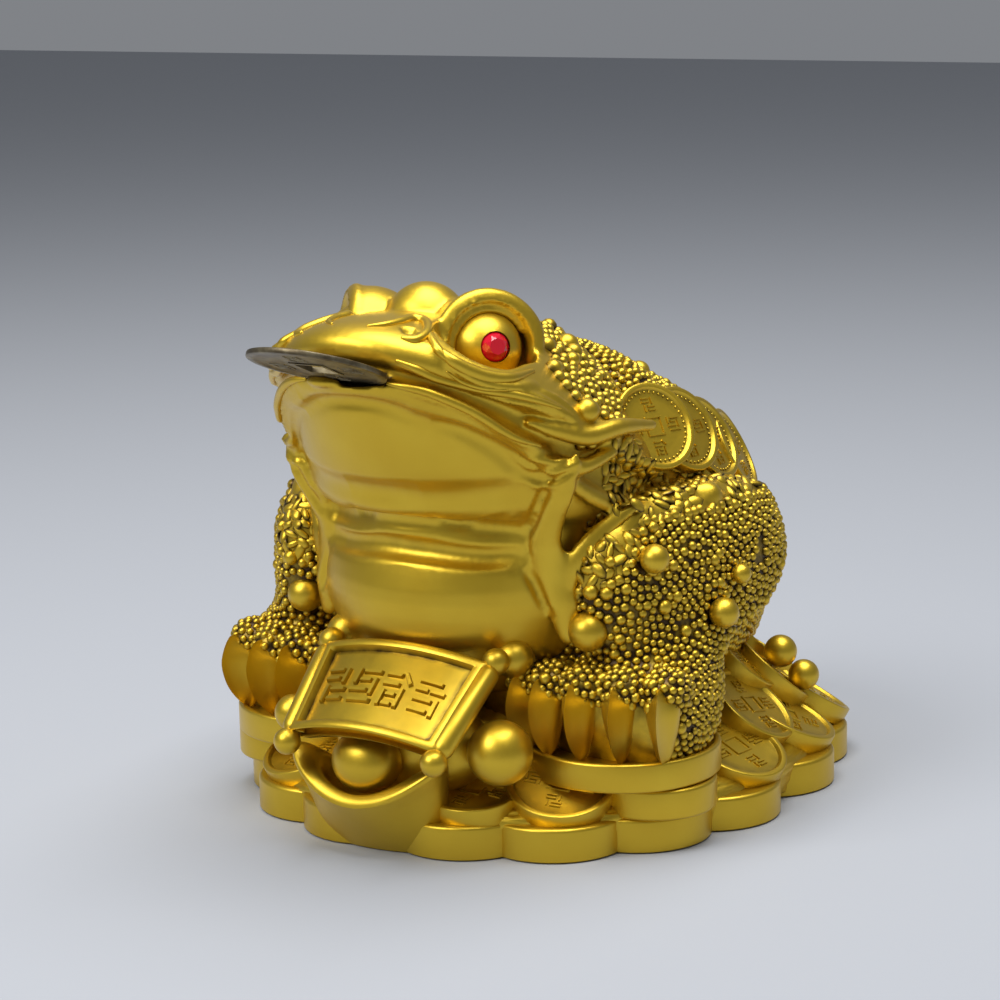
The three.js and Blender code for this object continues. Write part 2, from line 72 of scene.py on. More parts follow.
def spot(point):
    return Vector(place(point)[0])


# camera

photo = {
    "azimuth": math.radians(31.0),
    "elevation": math.radians(11.6),
    "roll": math.radians(-1.2),
    "distance": 550.0,
    "pixelsPerMm": 5.45,
    "middle": (9.8, -48.4),  # mm right and down of the picture's middle
    "size": 1000,
}


def lookFromPhoto():
    a, e, roll = photo["azimuth"], photo["elevation"], photo["roll"]
    back = Vector((math.sin(a) * math.cos(e), -math.cos(a) * math.cos(e), math.sin(e)))
    level = Vector((math.cos(a), math.sin(a), 0))
    above = back.cross(level)
    right = level * math.cos(roll) + above * math.sin(roll)
    up = above * math.cos(roll) - level * math.sin(roll)
    aim = -photo["middle"][0] * right - photo["middle"][1] * up
    return spot(aim + back * photo["distance"]), right, up, back


def addCamera():
    eye, right, up, back = lookFromPhoto()
    lens = bpy.data.cameras.new("photoLens")
    lens.sensor_width = 36
    lens.lens = 36 * photo["pixelsPerMm"] * photo["distance"] / photo["size"]
    lens.clip_start = 0.02
    camera = bpy.data.objects.new("photoCamera", lens)
    camera.matrix_world = Matrix.Translation(eye) @ Matrix((right, up, back)).transposed().to_4x4()
    bpy.context.scene.collection.objects.link(camera)
    bpy.context.scene.camera = camera


addCamera()


# modelling helpers


def select(*pieces):
    bpy.ops.object.select_all(action="DESELECT")
    for piece in pieces:
        piece.select_set(True)
    if pieces:
        bpy.context.view_layer.objects.active = pieces[0]


def finish(piece, kind, **settings):  # adds a modifier and applies it
    modifier = piece.modifiers.new(kind.title(), kind)
    for name, value in settings.items():
        setattr(modifier, name, value)
    select(piece)
    bpy.ops.object.modifier_apply(modifier=modifier.name)
    return piece


def join(name, pieces):
    select(*pieces)
    bpy.ops.object.join()
    piece = bpy.context.view_layer.objects.active
    piece.name = piece.data.name = name
    return piece


def facing(piece):  # normals outward again
    select(piece)
    bpy.ops.object.mode_set(mode="EDIT")
    bpy.ops.mesh.select_all(action="SELECT")
    bpy.ops.mesh.normals_make_consistent(inside=False)
    bpy.ops.object.mode_set(mode="OBJECT")
    return piece


def softened(piece, degrees=40):
    select(piece)
    bpy.ops.object.shade_smooth_by_angle(angle=math.radians(degrees))
    return piece


def pick(piece, kind, test):  # in edit mode, selects the faces or edges that pass
    bpy.ops.mesh.select_mode(type="FACE" if kind == "faces" else "EDGE")
    bpy.ops.mesh.select_all(action="DESELECT")
    mesh = bmesh.from_edit_mesh(piece.data)
    for part in getattr(mesh, kind):
        part.select_set(bool(test(part)))
    bmesh.update_edit_mesh(piece.data)


def pickFlat(piece, way=1):  # in edit mode, selects the faces that look straight up, or down
    pick(piece, "faces", lambda face: face.normal.z * way > 0.9)


def insetFaces(width, depth=0.0):  # in edit mode, a border inside the picked faces, then a step, in mm
    bpy.ops.mesh.inset(thickness=width * 0.001, depth=depth * 0.001)


rightAngle, slopeFoot = 1.2, 0.65  # radians past which an edge counts as one or the other


def roundEdges(piece, least, width, segments):  # in edit mode, edges that turn by more than least
    pick(piece, "edges", lambda edge: edge.calc_face_angle(0) > least)
    bpy.ops.mesh.bevel(offset=width * 0.001, segments=segments, profile=0.5)


def disc(radius, thickness, sides):  # at the world's origin
    bpy.ops.mesh.primitive_cylinder_add(vertices=sides, radius=radius * 0.001, depth=thickness * 0.001)
    return bpy.context.active_object


def meshOf(name, points, faces):
    mesh = bpy.data.meshes.new(name)
    mesh.from_pydata(np.asarray(points).tolist(), [], [list(map(int, face)) for face in faces])
    mesh.update()
    piece = bpy.data.objects.new(name, mesh)
    bpy.context.scene.collection.objects.link(piece)
    return piece


def loft(name, rings):  # closed rings in mm, skinned one to the next, with a fan at each end
    rings = np.asarray(rings, float)
    count, around = rings.shape[:2]
    points = np.vstack([rings.reshape(-1, 3), rings[0].mean(0), rings[-1].mean(0)])
    n = np.arange(around)
    m = (n + 1) % around
    faces = []
    for r in range(count - 1):
        a, b = r * around, (r + 1) * around
        faces += np.stack([a + n, a + m, b + m, b + n], 1).tolist()
    last = (count - 1) * around
    faces += np.stack([np.full(around, count * around), m, n], 1).tolist()
    faces += np.stack([np.full(around, count * around + 1), last + n, last + m], 1).tolist()
    return facing(meshOf(name, place(points), faces))


def smoothRows(rows, steps):  # a smooth curve through the rows, steps to each gap
    rows = np.asarray(rows, float)
    p = np.vstack([2 * rows[0] - rows[1], rows, 2 * rows[-1] - rows[-2]])
    gaps = np.maximum(np.linalg.norm(np.diff(p, axis=0), axis=1), 1e-6) ** 0.5
    k = np.concatenate([[0], np.cumsum(gaps)])
    blend = lambda a, b, ka, kb, t: a + (b - a) * (t - ka) / (kb - ka)
    out = []
    for i in range(1, len(p) - 2):
        for t in np.linspace(k[i], k[i + 1], steps, endpoint=False):
            a = blend(p[i - 1], p[i], k[i - 1], k[i], t)
            b = blend(p[i], p[i + 1], k[i], k[i + 1], t)
            c = blend(p[i + 1], p[i + 2], k[i + 1], k[i + 2], t)
            d = blend(a, b, k[i - 1], k[i + 1], t)
            e = blend(b, c, k[i], k[i + 2], t)
            out.append(blend(d, e, k[i], k[i + 1], t))
    return np.array(out + [rows[-1]])


askew = (0.3, 0.2, 1.0)  # a way that no limb runs, to turn its rings by


def tube(name, points, radii, flat=1.0, out=askew, sides=14, steps=6):  # round-ended limb on a smooth path
    path = smoothRows(points, steps)
    along = np.linspace(0, len(radii) - 1, len(path))
    thick = np.interp(along, np.arange(len(radii)), radii)
    ways = np.gradient(path, axis=0)
    ways /= np.linalg.norm(ways, axis=1)[:, None]
    angles = (np.arange(sides) / sides * 2 * np.pi)[:, None]
    rings = []

    def ring(centre, way, radius):
        side = np.cross(way, out)
        side /= np.linalg.norm(side)
        over = np.cross(way, side)
        rings.append(centre + radius * (np.cos(angles) * side + flat * np.sin(angles) * over))

    for i, (centre, way) in enumerate(zip(path, ways)):
        if i == 0:
            ring(centre - way * thick[i] * 0.9, way, thick[i] * 0.4)
            ring(centre - way * thick[i] * 0.55, way, thick[i] * 0.83)
        ring(centre, way, thick[i])
    ring(path[-1] + ways[-1] * thick[-1] * 0.55, ways[-1], thick[-1] * 0.83)
    ring(path[-1] + ways[-1] * thick[-1] * 0.9, ways[-1], thick[-1] * 0.4)
    return loft(name, rings)


def turned(name, start, stop, profile, sides=24):  # profile: mm along from the start, radius
    start, stop = np.array(start, float), np.array(stop, float)
    way = (stop - start) / np.linalg.norm(stop - start)
    side = np.cross(way, askew)
    side /= np.linalg.norm(side)
    over = np.cross(way, side)
    angles = (np.arange(sides) / sides * 2 * np.pi)[:, None]
    around = np.cos(angles) * side + np.sin(angles) * over
    return loft(name, [start + way * along + radius * around for along, radius in profile])


def ball(name, centre, radii, turn=(0, 0, 0), segments=24):
    if np.isscalar(radii):
        radii = (radii,) * 3
    bpy.ops.mesh.primitive_uv_sphere_add(
        segments=segments,
        ring_count=segments * 2 // 3,
        radius=1,
        location=spot(centre),
        rotation=[math.radians(t) for t in turn],
        scale=[r * 0.001 for r in radii],
    )
    piece = bpy.context.active_object
    piece.name = name
    bpy.ops.object.transform_apply(location=True, rotation=True, scale=True)
    return piece


def coords(piece):
    co = np.empty(len(piece.data.vertices) * 3)
    piece.data.vertices.foreach_get("co", co)
    return co.reshape(-1, 3)


def normals(piece):
    no = np.empty(len(piece.data.vertices) * 3)
    piece.data.vertex_normals.foreach_get("vector", no)
    return no.reshape(-1, 3)


def inMm(piece):
    return coords(piece) * 1000 - (0, setBack, 0)


def reshape(piece, mm):
    piece.data.vertices.foreach_set("co", place(mm).ravel())
    piece.data.update()


def store(piece, amount):  # how much painted shade and brown wash each point holds, read by the paint
    layer = piece.data.attributes.get("shadeAndWash") or piece.data.attributes.new("shadeAndWash", "FLOAT", "POINT")
    layer.data.foreach_set("value", np.asarray(amount, np.float32))


def shadeAndWashOf(piece):
    amount = np.zeros(len(piece.data.vertices), np.float32)
    layer = piece.data.attributes.get("shadeAndWash")
    if layer:
        layer.data.foreach_get("value", amount)
    return amount


def frameAt(centre, normal, up=(0, 0, 1), scale=(1, 1, 1)):  # z along the normal, y towards up
    z = np.array(normal, float)
    z /= np.linalg.norm(z)
    x = np.cross(up, z)
    x /= np.linalg.norm(x)
    y = np.cross(z, x)
    return np.array(centre, float), np.stack([x, y, z], 1) * np.array(scale)


def copies(name, model, frames, keep=False):  # a copy of the model, made at the world's origin, in each frame
    co = coords(model) * 1000
    flat = np.empty(len(model.data.loops), int)
    model.data.loops.foreach_get("vertex_index", flat)
    starts = [p.loop_start for p in model.data.polygons] + [len(flat)]
    faces = [flat[a:b] for a, b in zip(starts, starts[1:])]
    points = np.vstack([centre + co @ axes.T for centre, axes in frames])
    every = [face + i * len(co) for i in range(len(frames)) for face in faces]
    piece = meshOf(name, place(points), every)
    store(piece, np.tile(shadeAndWashOf(model), len(frames)))
    if not keep:
        bpy.data.objects.remove(model)
    return piece


def toOrigin(piece):  # a model placed by its mm round the toad's middle goes to the world's origin
    co = coords(piece) - (0, setBack * 0.001, 0)
    piece.data.vertices.foreach_set("co", co.ravel())
    piece.data.update()
    return piece


def fuse(name, parts, grain, rounds):  # one cast skin over the joined forms
    piece = join(name, parts)
    finish(piece, "REMESH", mode="VOXEL", voxel_size=grain * 0.001)
    finish(piece, "SMOOTH", factor=0.5, iterations=rounds)
    select(piece)
    bpy.ops.object.shade_smooth()
    print(name, len(piece.data.polygons), "faces")
    return piece


def onSurface(piece, pixels):  # points of the photograph, on the piece
    eye, right, up, back = lookFromPhoto()
    focal, middle = photo["pixelsPerMm"] * photo["distance"], photo["size"] / 2
    found = []
    for px, py in pixels:
        way = -back + right * (px - middle) / focal + up * (middle - py) / focal
        hit, where, _, _ = piece.ray_cast(eye, way.normalized())
        if hit:
            found.append(np.array(where) * 1000 - (0, setBack, 0))
    return np.array(found)


def work(piece, line, width, height, ends=0.25):  # a ridge, or a groove where height is negative
    if len(line) < 2:
        return
    mm, no = inMm(piece), normals(piece)
    path = smoothRows(line, 12)
    picked = np.flatnonzero(((mm > path.min(0) - width) & (mm < path.max(0) + width)).all(1))
    if not len(picked):
        return
    apart = np.linalg.norm(mm[picked][:, None] - path[None], axis=2)
    share = np.clip(1 - (apart.min(1) / width) ** 2, 0, 1) ** 2
    along = apart.argmin(1) / (len(path) - 1)
    taper = np.clip(np.minimum(along, 1 - along) / ends, 0, 1) ** 0.7 if ends else 1.0
    mm[picked] += no[picked] * (share * taper * height)[:, None]
    reshape(piece, mm)


def acrossOn(piece, line):  # the same line on the toad's right side
    places = [piece.closest_point_on_mesh(Vector(p))[1] for p in place(line * (-1, 1, 1))]
    return np.array(places).reshape(-1, 3) * 1000 - (0, setBack, 0)


def workBoth(piece, pixels, width, height, ends=0.25):
    line = onSurface(piece, pixels)
    for way in (line, acrossOn(piece, line)):
        work(piece, way, width, height, ends)


# the toad's head: tilted ovals from the foot of the belly to the crown, then eyes, folds and straps

head = {
    # front y, z, fall per mm to the back, half width, length to the widest point, sag at the mouth's corner
    "rows": [
        (-40, 24, 0, 20, 20, 0),
        (-47, 30, 0, 24.5, 27, 0),
        (-50.6, 41, 0, 28.4, 30, 0),
        (-48.8, 53, 0.02, 29.6, 28, 0),
        (-53.3, 57.8, 0.12, 31, 33, 0),
        (-58, 66, 0.36, 31.2, 37, 0),
        (-61, 73, 0.5, 30.8, 39.6, 3),
        (-62.4, 76.6, 0.56, 31, 40.4, 4),
        (-64.6, 78.4, 0.6, 32.1, 42.8, 4),
        (-65.8, 80.6, 0.62, 32.5, 44, 3.8),
        (-66, 81.8, 0.64, 32.4, 44.2, 3.2),
        (-64, 82.6, 0.62, 30.6, 42.2, 2.4),
        (-63.7, 83.9, 0.58, 30.4, 41.9, 1),
        (-66.2, 84.9, 0.53, 32.3, 44.2, 0),
        (-67, 86.4, 0.53, 32.7, 45, 0),
        (-66.4, 88.2, 0.52, 31.8, 44.6, 0),
        (-64, 89.6, 0.5, 29.5, 42.6, 0),
        (-57, 90.4, 0.36, 22, 36, 0),
        (-47, 89.8, 0.2, 12, 25, 0),
    ],
    "sides": 96,
    # heights of the rows, and how much slimmer the toad's right cheek is there
    "slimmer": ((50, 56, 84, 90), (0, 3.7, 3.7, 2.6)),
    "runIn": 14,  # how far the ovals run back into the body
    "corner": (27, 11),  # how far back the mouth's corner lies, and its spread
    "socket": ((18.4, -48, 89), (10, 10, 7.6)),
    "crown": ((0.2, -40, 87), 7),
    "mouth": (0.5, (12.6, 12.4, 2.3)),  # hollow round the coin: lift over it, radii
    "lipTab": ((-3.8, -65.2, 80.7), (3.2, 1.5, 1)),
    "grain": 0.5,
    # folds at the mouth's corner: line, radii
    "lipFold": (
        [(24.6, -48.8, 73.4), (27.4, -44.6, 71.6), (30, -39.4, 70), (32.4, -33, 70.6), (33.8, -24, 69.6)],
        (0.6, 1.4, 1.7, 1.6, 1),
    ),
    "underFold": ([(25.6, -46.5, 66.6), (29.3, -40.6, 65), (31.4, -33, 66.4)], (0.9, 1.5, 1)),
    "foldIn": 0.9,  # how much nearer the middle the folds lie on the right side
    # the straps of skin, flat bands from the mouth's corner and the shoulder down to the paw
    "mouthStrap": (
        [
            (29.6, -42.4, 66.8),
            (27, -43, 61),
            (24.2, -42, 56.4),
            (22.8, -40.6, 51.5),
            (23.4, -39, 46.5),
            (24.8, -38.6, 41),
            (25.4, -38, 36),
        ],
        (1, 2.4, 2.8, 2.7, 3.4, 3, 2),
    ),
    "shoulderStrap": (
        [(34.4, -30.6, 57.2), (30.4, -34.6, 53.6), (27.4, -37.6, 49.4), (25.2, -38.6, 45)],
        (0.9, 1.7, 1.8, 2.2),
    ),
    "strapOut": (0.42, -0.9, 0.12),
    "strapFlat": 0.5,
}
# lines over the head's skin, by the pixels of the photograph where they show, mirrored on the other side.
# Each: line, width, height (below zero a crease)
headLines = {
    "lips": [
        ([(380, 384), (402, 388), (427, 396), (455, 405), (480, 417), (500, 430), (517, 440),
          (536, 447), (552, 450)], 1.1, 0.8),
        ([(395, 362), (415, 371), (440, 379), (465, 387), (492, 396), (524, 403), (545, 411),
          (560, 420)], 1.0, 0.7),
        ([(430, 421), (455, 427), (480, 439), (505, 455), (524, 471), (549, 481)], 2.6, -0.6),
        ([(300, 399), (340, 401), (385, 408), (430, 421)], 2.6, -0.6),
    ],
    "cornerFolds": [
        ([(505, 450), (530, 467), (555, 472), (574, 465), (582, 455)], 0.95, 0.5),
        ([(520, 453), (542, 461), (561, 461), (575, 452)], 0.9, 0.45),
        ([(517, 478), (542, 487), (561, 484), (578, 470)], 1.1, 0.5),
        ([(517, 390), (542, 399), (561, 410), (574, 421), (581, 431)], 1.1, 0.5),
        ([(530, 398), (548, 405), (561, 414), (570, 426)], 0.8, 0.35),
        ([(541, 389), (560, 400), (574, 412), (583, 425)], 0.8, 0.35),
    ],
    "lids": [
        ([(424, 342), (441, 354), (455, 367), (474, 379), (492, 385), (515, 387),
          (538, 383)], 1.3, 0.75),
        ([(437, 363), (455, 378), (478, 390), (505, 396), (530, 394)], 1.2, -0.35),
    ],
    "nostrils": [
        ([(402, 330), (409, 330), (416, 330)], 1.5, -1.1),
    ],
    "throat": [
        ([(345, 486), (380, 494), (410, 496), (460, 496), (510, 492), (540, 488)], 3.8, -0.8),
        ([(310, 488), (330, 506), (350, 515), (380, 520), (420, 525), (455, 530), (500, 531),
          (520, 528)], 3.2, -1.2),
        ([(432, 512), (445, 519), (462, 523), (490, 521), (512, 516)], 1.6, -0.5),
        ([(330, 528), (346, 543), (380, 547), (430, 548), (460, 552), (490, 556), (512, 558),
          (524, 567)], 2.8, -1.1),
        ([(524, 567), (534, 584), (544, 604), (553, 621)], 1.4, -0.8),
        ([(550, 484), (542, 498), (535, 515), (528, 532)], 1.5, -0.9),
    ],
}
# folds laid on the skin as thin rolls: line, radii; mirrored too
faceRolls = [
    ([(368, 326), (384, 325), (400, 322), (413, 319), (423, 321), (428, 327), (425, 335),
      (414, 340), (403, 338)], (0.25, 0.6, 0.8, 0.95, 0.95, 0.95, 0.9, 0.75, 0.4)),
    ([(428, 332), (432, 341), (438, 350), (446, 358)], (0.6, 0.8, 0.8, 0.5)),
    ([(438, 349), (453, 361), (469, 370), (490, 377), (511, 378), (533, 371)],
      (0.5, 1, 1.15, 1.15, 0.95, 0.4)),
    ([(447, 372), (463, 382), (484, 388), (508, 390)], (0.2, 0.5, 0.55, 0.2)),
    ([(397, 361), (416, 369), (436, 378), (469, 387), (490, 391), (511, 394), (536, 400),
      (560, 408)], (0.3, 0.7, 0.8, 0.8, 0.8, 0.75, 0.6, 0.3)),
    ([(388, 384), (405, 387), (423, 391), (447, 400), (469, 410), (486, 420), (501, 430),
      (518, 439), (540, 446)], (0.3, 0.6, 0.75, 0.8, 0.8, 0.8, 0.75, 0.6, 0.3)),
]
eyes = {
    "centre": (11.8, -41, 83.6),
    "ball": 6.3,
    "turn": math.radians(52),
    "lift": math.radians(10),
    # radius, forward of the centre, thickness from the front of the eye to its rear, first and last degree
    "hood": (8.4, 2.2, (0.7, 1.2, 1.4, 1.5, 1.6, 1.8, 1.5), -15, 200),
    "lid": (6.3, 2.4, (0.4, 0.75, 0.85, 0.85, 0.7, 0.4), -30, 160),
    "dome": (9.3, -1.2),
    "farRing": 0.93,  # hood and lid are this much smaller on the right side
    "cut": (7.6, 3.6),
    "gem": 4.9,
    "gemOut": 5.5,
    "drill": (0.12, 3, 0.2),  # play round the stone, depth, how far past the stone's middle
}


def gaze(side):
    turn, lift = eyes["turn"], eyes["lift"]
    level = math.cos(lift)
    return np.array((side * math.sin(turn) * level, -math.cos(turn) * level, math.sin(lift)))


def eyeArc(side, radius, push, start, stop, count=9):
    centre = np.array(eyes["centre"]) * (side, 1, 1)
    forward = gaze(side)
    across = np.cross(forward, (0, 0, 1))
    across /= np.linalg.norm(across)
    up = np.cross(across, forward)
    angles = np.radians(np.linspace(start, stop, count))[:, None]
    return centre + forward * push + radius * (np.cos(angles) * across * side + np.sin(angles) * up)


def headRings():
    rings = []
    t = np.arange(head["sides"]) / head["sides"] * 2 * np.pi
    corner, spread = head["corner"]
    for front, height, fall, half, length, sag in smoothRows(head["rows"], 5):
        reach = np.where(np.cos(t) > 0, length, head["runIn"])
        back = length - reach * np.cos(t)
        drop = fall * back + sag * np.exp(-(((back - corner) / spread) ** 2))
        wide = half - np.where(np.sin(t) < 0, np.interp(height, *head["slimmer"]), 0)
        rings.append(np.stack([wide * np.sin(t), front + back, height - drop], 1))
    return rings


def carve(piece, cutter):
    return finish(piece, "BOOLEAN", operation="DIFFERENCE", object=cutter, solver="EXACT")


def mouthMiddle():
    lip, pitch = mouthCoin["lip"], mouthCoin["pitch"]
    centre = np.array((0, lip[1] - mouthCoin["reach"] * math.cos(pitch), lip[2]))
    return centre, np.array((0, math.sin(pitch), math.cos(pitch)))


def makeHead():
    skull = loft("skull", headRings())
    (x, y, z), radii = head["socket"]
    centre, normal = mouthMiddle()
    lift, mouthRadii = head["mouth"]
    tilt = (-math.degrees(mouthCoin["pitch"]), 0, 0)
    cutters = [ball("mouthHollow", centre + normal * lift, mouthRadii, tilt, segments=48)]
    parts = [skull, ball("crown", *head["crown"], segments=32), ball("lipTab", *head["lipTab"])]
    for side in (1, -1):
        cutters.append(ball("socket", (side * x, y, z), radii, segments=32))
        centre = np.array(eyes["centre"]) * (side, 1, 1)
        radius, push = eyes["dome"]
        dome = ball("dome", centre + gaze(side) * push, radius, segments=48)
        radius, push = eyes["cut"]
        cutter = ball("eyeHollow", centre + gaze(side) * push, radius, segments=48)
        carve(dome, cutter)
        cutters.append(cutter)
        parts.append(dome)
        for ring in ("hood", "lid"):
            radius, push, thick, start, stop = eyes[ring]
            radius *= 1 if side > 0 else eyes["farRing"]
            parts.append(tube(ring, eyeArc(side, radius, push, start, stop), thick))
        inward = side if side > 0 else -head["foldIn"]
        for key in ("lipFold", "underFold"):
            points, thick = head[key]
            parts.append(tube(key, np.array(points) * (inward, 1, 1), thick))
        out = np.array(head["strapOut"]) * (side, 1, 1)
        for key in ("mouthStrap", "shoulderStrap"):
            points, thick = head[key]
            parts.append(tube(key, np.array(points) * (inward, 1, 1), thick, head["strapFlat"], out))
    for cutter in cutters:
        carve(skull, cutter)
        bpy.data.objects.remove(cutter)
    piece = fuse("toadHead", parts, head["grain"], 3)
    for lines in headLines.values():
        for pixels, width, height in lines:
            workBoth(piece, pixels, width, height)
    return piece


toadHead = makeHead()


def makeRolls():
    rolls = []
    for pixels, thick in faceRolls:
        line = onSurface(toadHead, pixels)
        for way in (line, acrossOn(toadHead, line)):
            rolls.append(tube("roll", way, thick, sides=12))
    return softened(join("faceFolds", rolls), 70)


faceFolds = makeRolls()


# eyeballs with their stones


def makeEyeball(side):
    centre = np.array(eyes["centre"]) * (side, 1, 1)
    eyeball = ball("eyeball", centre, eyes["ball"], segments=48)
    play, depth, out = eyes["drill"]
    drill = disc(eyes["gem"] / 2 + play, depth, 48)
    turn = Vector(gaze(side)).to_track_quat("Z", "Y").to_matrix().to_4x4()
    drill.matrix_world = Matrix.Translation(spot(centre + gaze(side) * (eyes["gemOut"] + out))) @ turn
    carve(eyeball, drill)
    bpy.data.objects.remove(drill)
    eyeball.name = "leftEyeball" if side > 0 else "rightEyeball"
    return softened(eyeball, 35)


# corners in each ring of the stone, share of its radius, height in mm, turn in steps
stoneCut = [(8, 0.56, 1.2, 0), (8, 0.8, 0.66, 0.5), (16, 1, -0.1, 0), (16, 1, -0.4, 0), (8, 0.5, -1.15, 0)]


def modelStone():  # round brilliant: table, stars, kites and girdle facets over a flat back
    r = eyes["gem"] / 2

    def circle(count, radius, height, shift):
        turns = (np.arange(count) + shift) / count * 2 * np.pi
        return np.stack([radius * np.cos(turns), radius * np.sin(turns), np.full(count, height)], 1)

    points = np.vstack([circle(count, r * share, height, shift) for count, share, height, shift in stoneCut])
    faces = [tuple(range(8)), tuple(range(55, 47, -1))]
    for i in range(8):
        j, g = (i + 1) % 8, 2 * i
        after = (g + 2) % 16
        faces.append((i, 8 + i, j))
        faces.append((i, 8 + (i - 1) % 8, 16 + g, 8 + i))
        faces.append((8 + i, 16 + g, 16 + g + 1))
        faces.append((8 + i, 16 + g + 1, 16 + after))
        faces.append((32 + g, 48 + i, 32 + g + 1))
        faces.append((32 + g + 1, 48 + i, 48 + j))
        faces.append((32 + g + 1, 48 + j, 32 + after))
    for g in range(16):
        faces.append((16 + g, 32 + g, 32 + (g + 1) % 16, 16 + (g + 1) % 16))
    return facing(meshOf("stone", points * 0.001, faces))


def makeStone(side):
    centre = np.array(eyes["centre"]) * (side, 1, 1) + gaze(side) * eyes["gemOut"]
    name = "leftStone" if side > 0 else "rightStone"
    return facing(copies(name, modelStone(), [frameAt(centre, gaze(side))]))


eyeballs = [makeEyeball(side) for side in (1, -1)]
stones = [makeStone(side) for side in (1, -1)]
print("head, eyes and stones made")


# torso, forelegs and hind leg

torso = {
    # y, half width, top z
    "rows": [
        (-36, 20, 70),
        (-28, 29, 76),
        (-14, 35, 78),
        (0, 36.5, 76.5),
        (12, 35.4, 73.4),
        (24, 31.6, 66.6),
        (35, 26, 58),
        (44, 18, 46),
        (50, 7, 33),
    ],
    "nape": ((0, -9, 70), (27, 13, 11)),
    "floor": 8,
    "power": 0.88,
    "sides": 96,
    "grain": 0.75,
}
foreleg = {
    # z, inner and outer x, front and back y, swing out per mm to the back, power
    "rows": [
        (14, 20, 43, -37.6, -20.5, 0, 0.8),
        (18, 17.5, 45, -38.8, -17, 0, 0.7),
        (24, 17.5, 45, -40.6, -12.5, 0, 0.7),
        (28.5, 20.5, 44, -39, -10.5, 0, 0.8),
        (31.5, 25, 42.8, -36, -8, 0.12, 0.9),
        (36, 26, 42.8, -37.5, 5, 0.2, 0.9),
        (42.5, 25.5, 43.2, -38.5, 10, 0.2, 0.9),
        (49, 26, 42.4, -38, 9, 0.2, 0.9),
        (54.5, 28, 40.4, -33.5, 6, 0.2, 0.9),
        (58, 32, 37.6, -24, -6, 0.2, 0.9),
    ],
    "sides": 64,
    "toes": {1: (18.2, 22.5, 28.7, 35.6, 42.5), -1: (16.5, 22, 28, 34.2, 40.4)},
    "toeBow": (26, -42.2, 0.0135),  # middle x, foremost y, bend
    "knuckle": (3.6, 4.6, 3.4),
    "knuckleAt": (3.4, 27.6),  # behind the toe's front, z
}


hindLeg = {
    "thigh": ((0, 44.5, 27), (11.5, 10, 14)),
    "toes": ((7.6, 52.5, 16), (3.6, 6.4, 3.4), 26),  # apart, y and z, radii, turn outward
}


def squared(c, power):
    return np.sign(c) * np.abs(c) ** power


def torsoPoint(y, half, top, t):
    middle = (top + torso["floor"]) / 2
    x = half * squared(np.sin(t), torso["power"])
    z = middle + (top - middle) * squared(np.cos(t), torso["power"])
    return np.stack([x, np.full_like(x, y), z], -1)


def torsoRings():
    t = np.arange(torso["sides"]) / torso["sides"] * 2 * np.pi
    return [torsoPoint(y, half, top, t) for y, half, top in smoothRows(torso["rows"], 5)]


def onTorso(y, degrees):  # degrees down from the ridge, minus on the toad's right
    rows = np.array(torso["rows"], float)
    half, top = (np.interp(y, rows[:, 0], rows[:, i]) for i in (1, 2))
    return torsoPoint(y, half, top, np.array([math.radians(degrees)]))[0]


def legRings(side):
    t = np.arange(foreleg["sides"]) / foreleg["sides"] * 2 * np.pi
    rings = []
    for z, inner, outer, front, back, swing, power in smoothRows(foreleg["rows"], 5):
        reach = (back - front) / 2 * squared(np.sin(t), power)
        x = (inner + outer) / 2 + (outer - inner) / 2 * squared(np.cos(t), power) + swing * reach
        rings.append(np.stack([side * x, (front + back) / 2 + reach, np.full_like(x, z)], 1))
    return rings


def toeFront(x):  # the toes stand on a shallow bow
    middle, front, bow = foreleg["toeBow"]
    return front + (abs(x) - middle) ** 2 * bow


def makeBody():
    parts = [loft("torso", torsoRings())]
    for side in (1, -1):
        parts.append(loft("foreleg", legRings(side)))
        for x in foreleg["toes"][side]:
            back, z = foreleg["knuckleAt"]
            parts.append(ball("knuckle", (side * x, toeFront(x) + back, z), foreleg["knuckle"]))
    parts.append(ball("nape", *torso["nape"]))
    parts.append(ball("hindLeg", *hindLeg["thigh"]))
    (apart, y, z), radii, turn = hindLeg["toes"]
    for spread in (-1, 0, 1):
        toe = (spread * apart, y - abs(spread) * 2, z)
        parts.append(ball("toe", toe, radii, (0, 0, -spread * turn)))
    return fuse("toadBody", parts, torso["grain"], 5)


toadBody = makeBody()


# claws: one fat curved nail, copied onto every toe

claw = {
    # z below the knuckle, forward, half width, half depth, how much higher the ridge stands than the sides
    "rows": [
        (1.4, 0.2, 1.5, 1.3, 1.6),
        (0.6, 0.9, 2.7, 2.6, 2),
        (-2, 1.3, 2.9, 3.8, 0.6),
        (-5, 0.9, 2.5, 3.7, 0),
        (-7.6, 0.4, 1.9, 3, 0),
        (-9.8, -0.1, 1.3, 1.8, 0),
        (-11.2, -0.4, 0.45, 0.6, 0),
    ],
    # a keel to the front, a hollow flank on each side
    "section": [
        (0, -1.2),
        (0.13, -0.9),
        (0.5, -0.38),
        (0.88, 0.02),
        (1, 0.35),
        (0.7, 0.85),
        (0, 1),
        (-0.7, 0.85),
        (-1, 0.35),
        (-0.88, 0.02),
        (-0.5, -0.38),
        (-0.13, -0.9),
    ],
    "top": 26.6,
    "splay": 0.016,
}


def modelClaw():
    section = np.array(claw["section"])
    closed = smoothRows(np.vstack([section, section[:1]]), 3)[:-1]
    rings = []
    for z, forward, half, deep, rise in smoothRows(claw["rows"], 4):
        level = z - rise * (closed[:, 1] + 0.4)
        rings.append(np.stack([half * closed[:, 0], -forward + deep * closed[:, 1], level], 1))
    return toOrigin(loft("claw", rings))


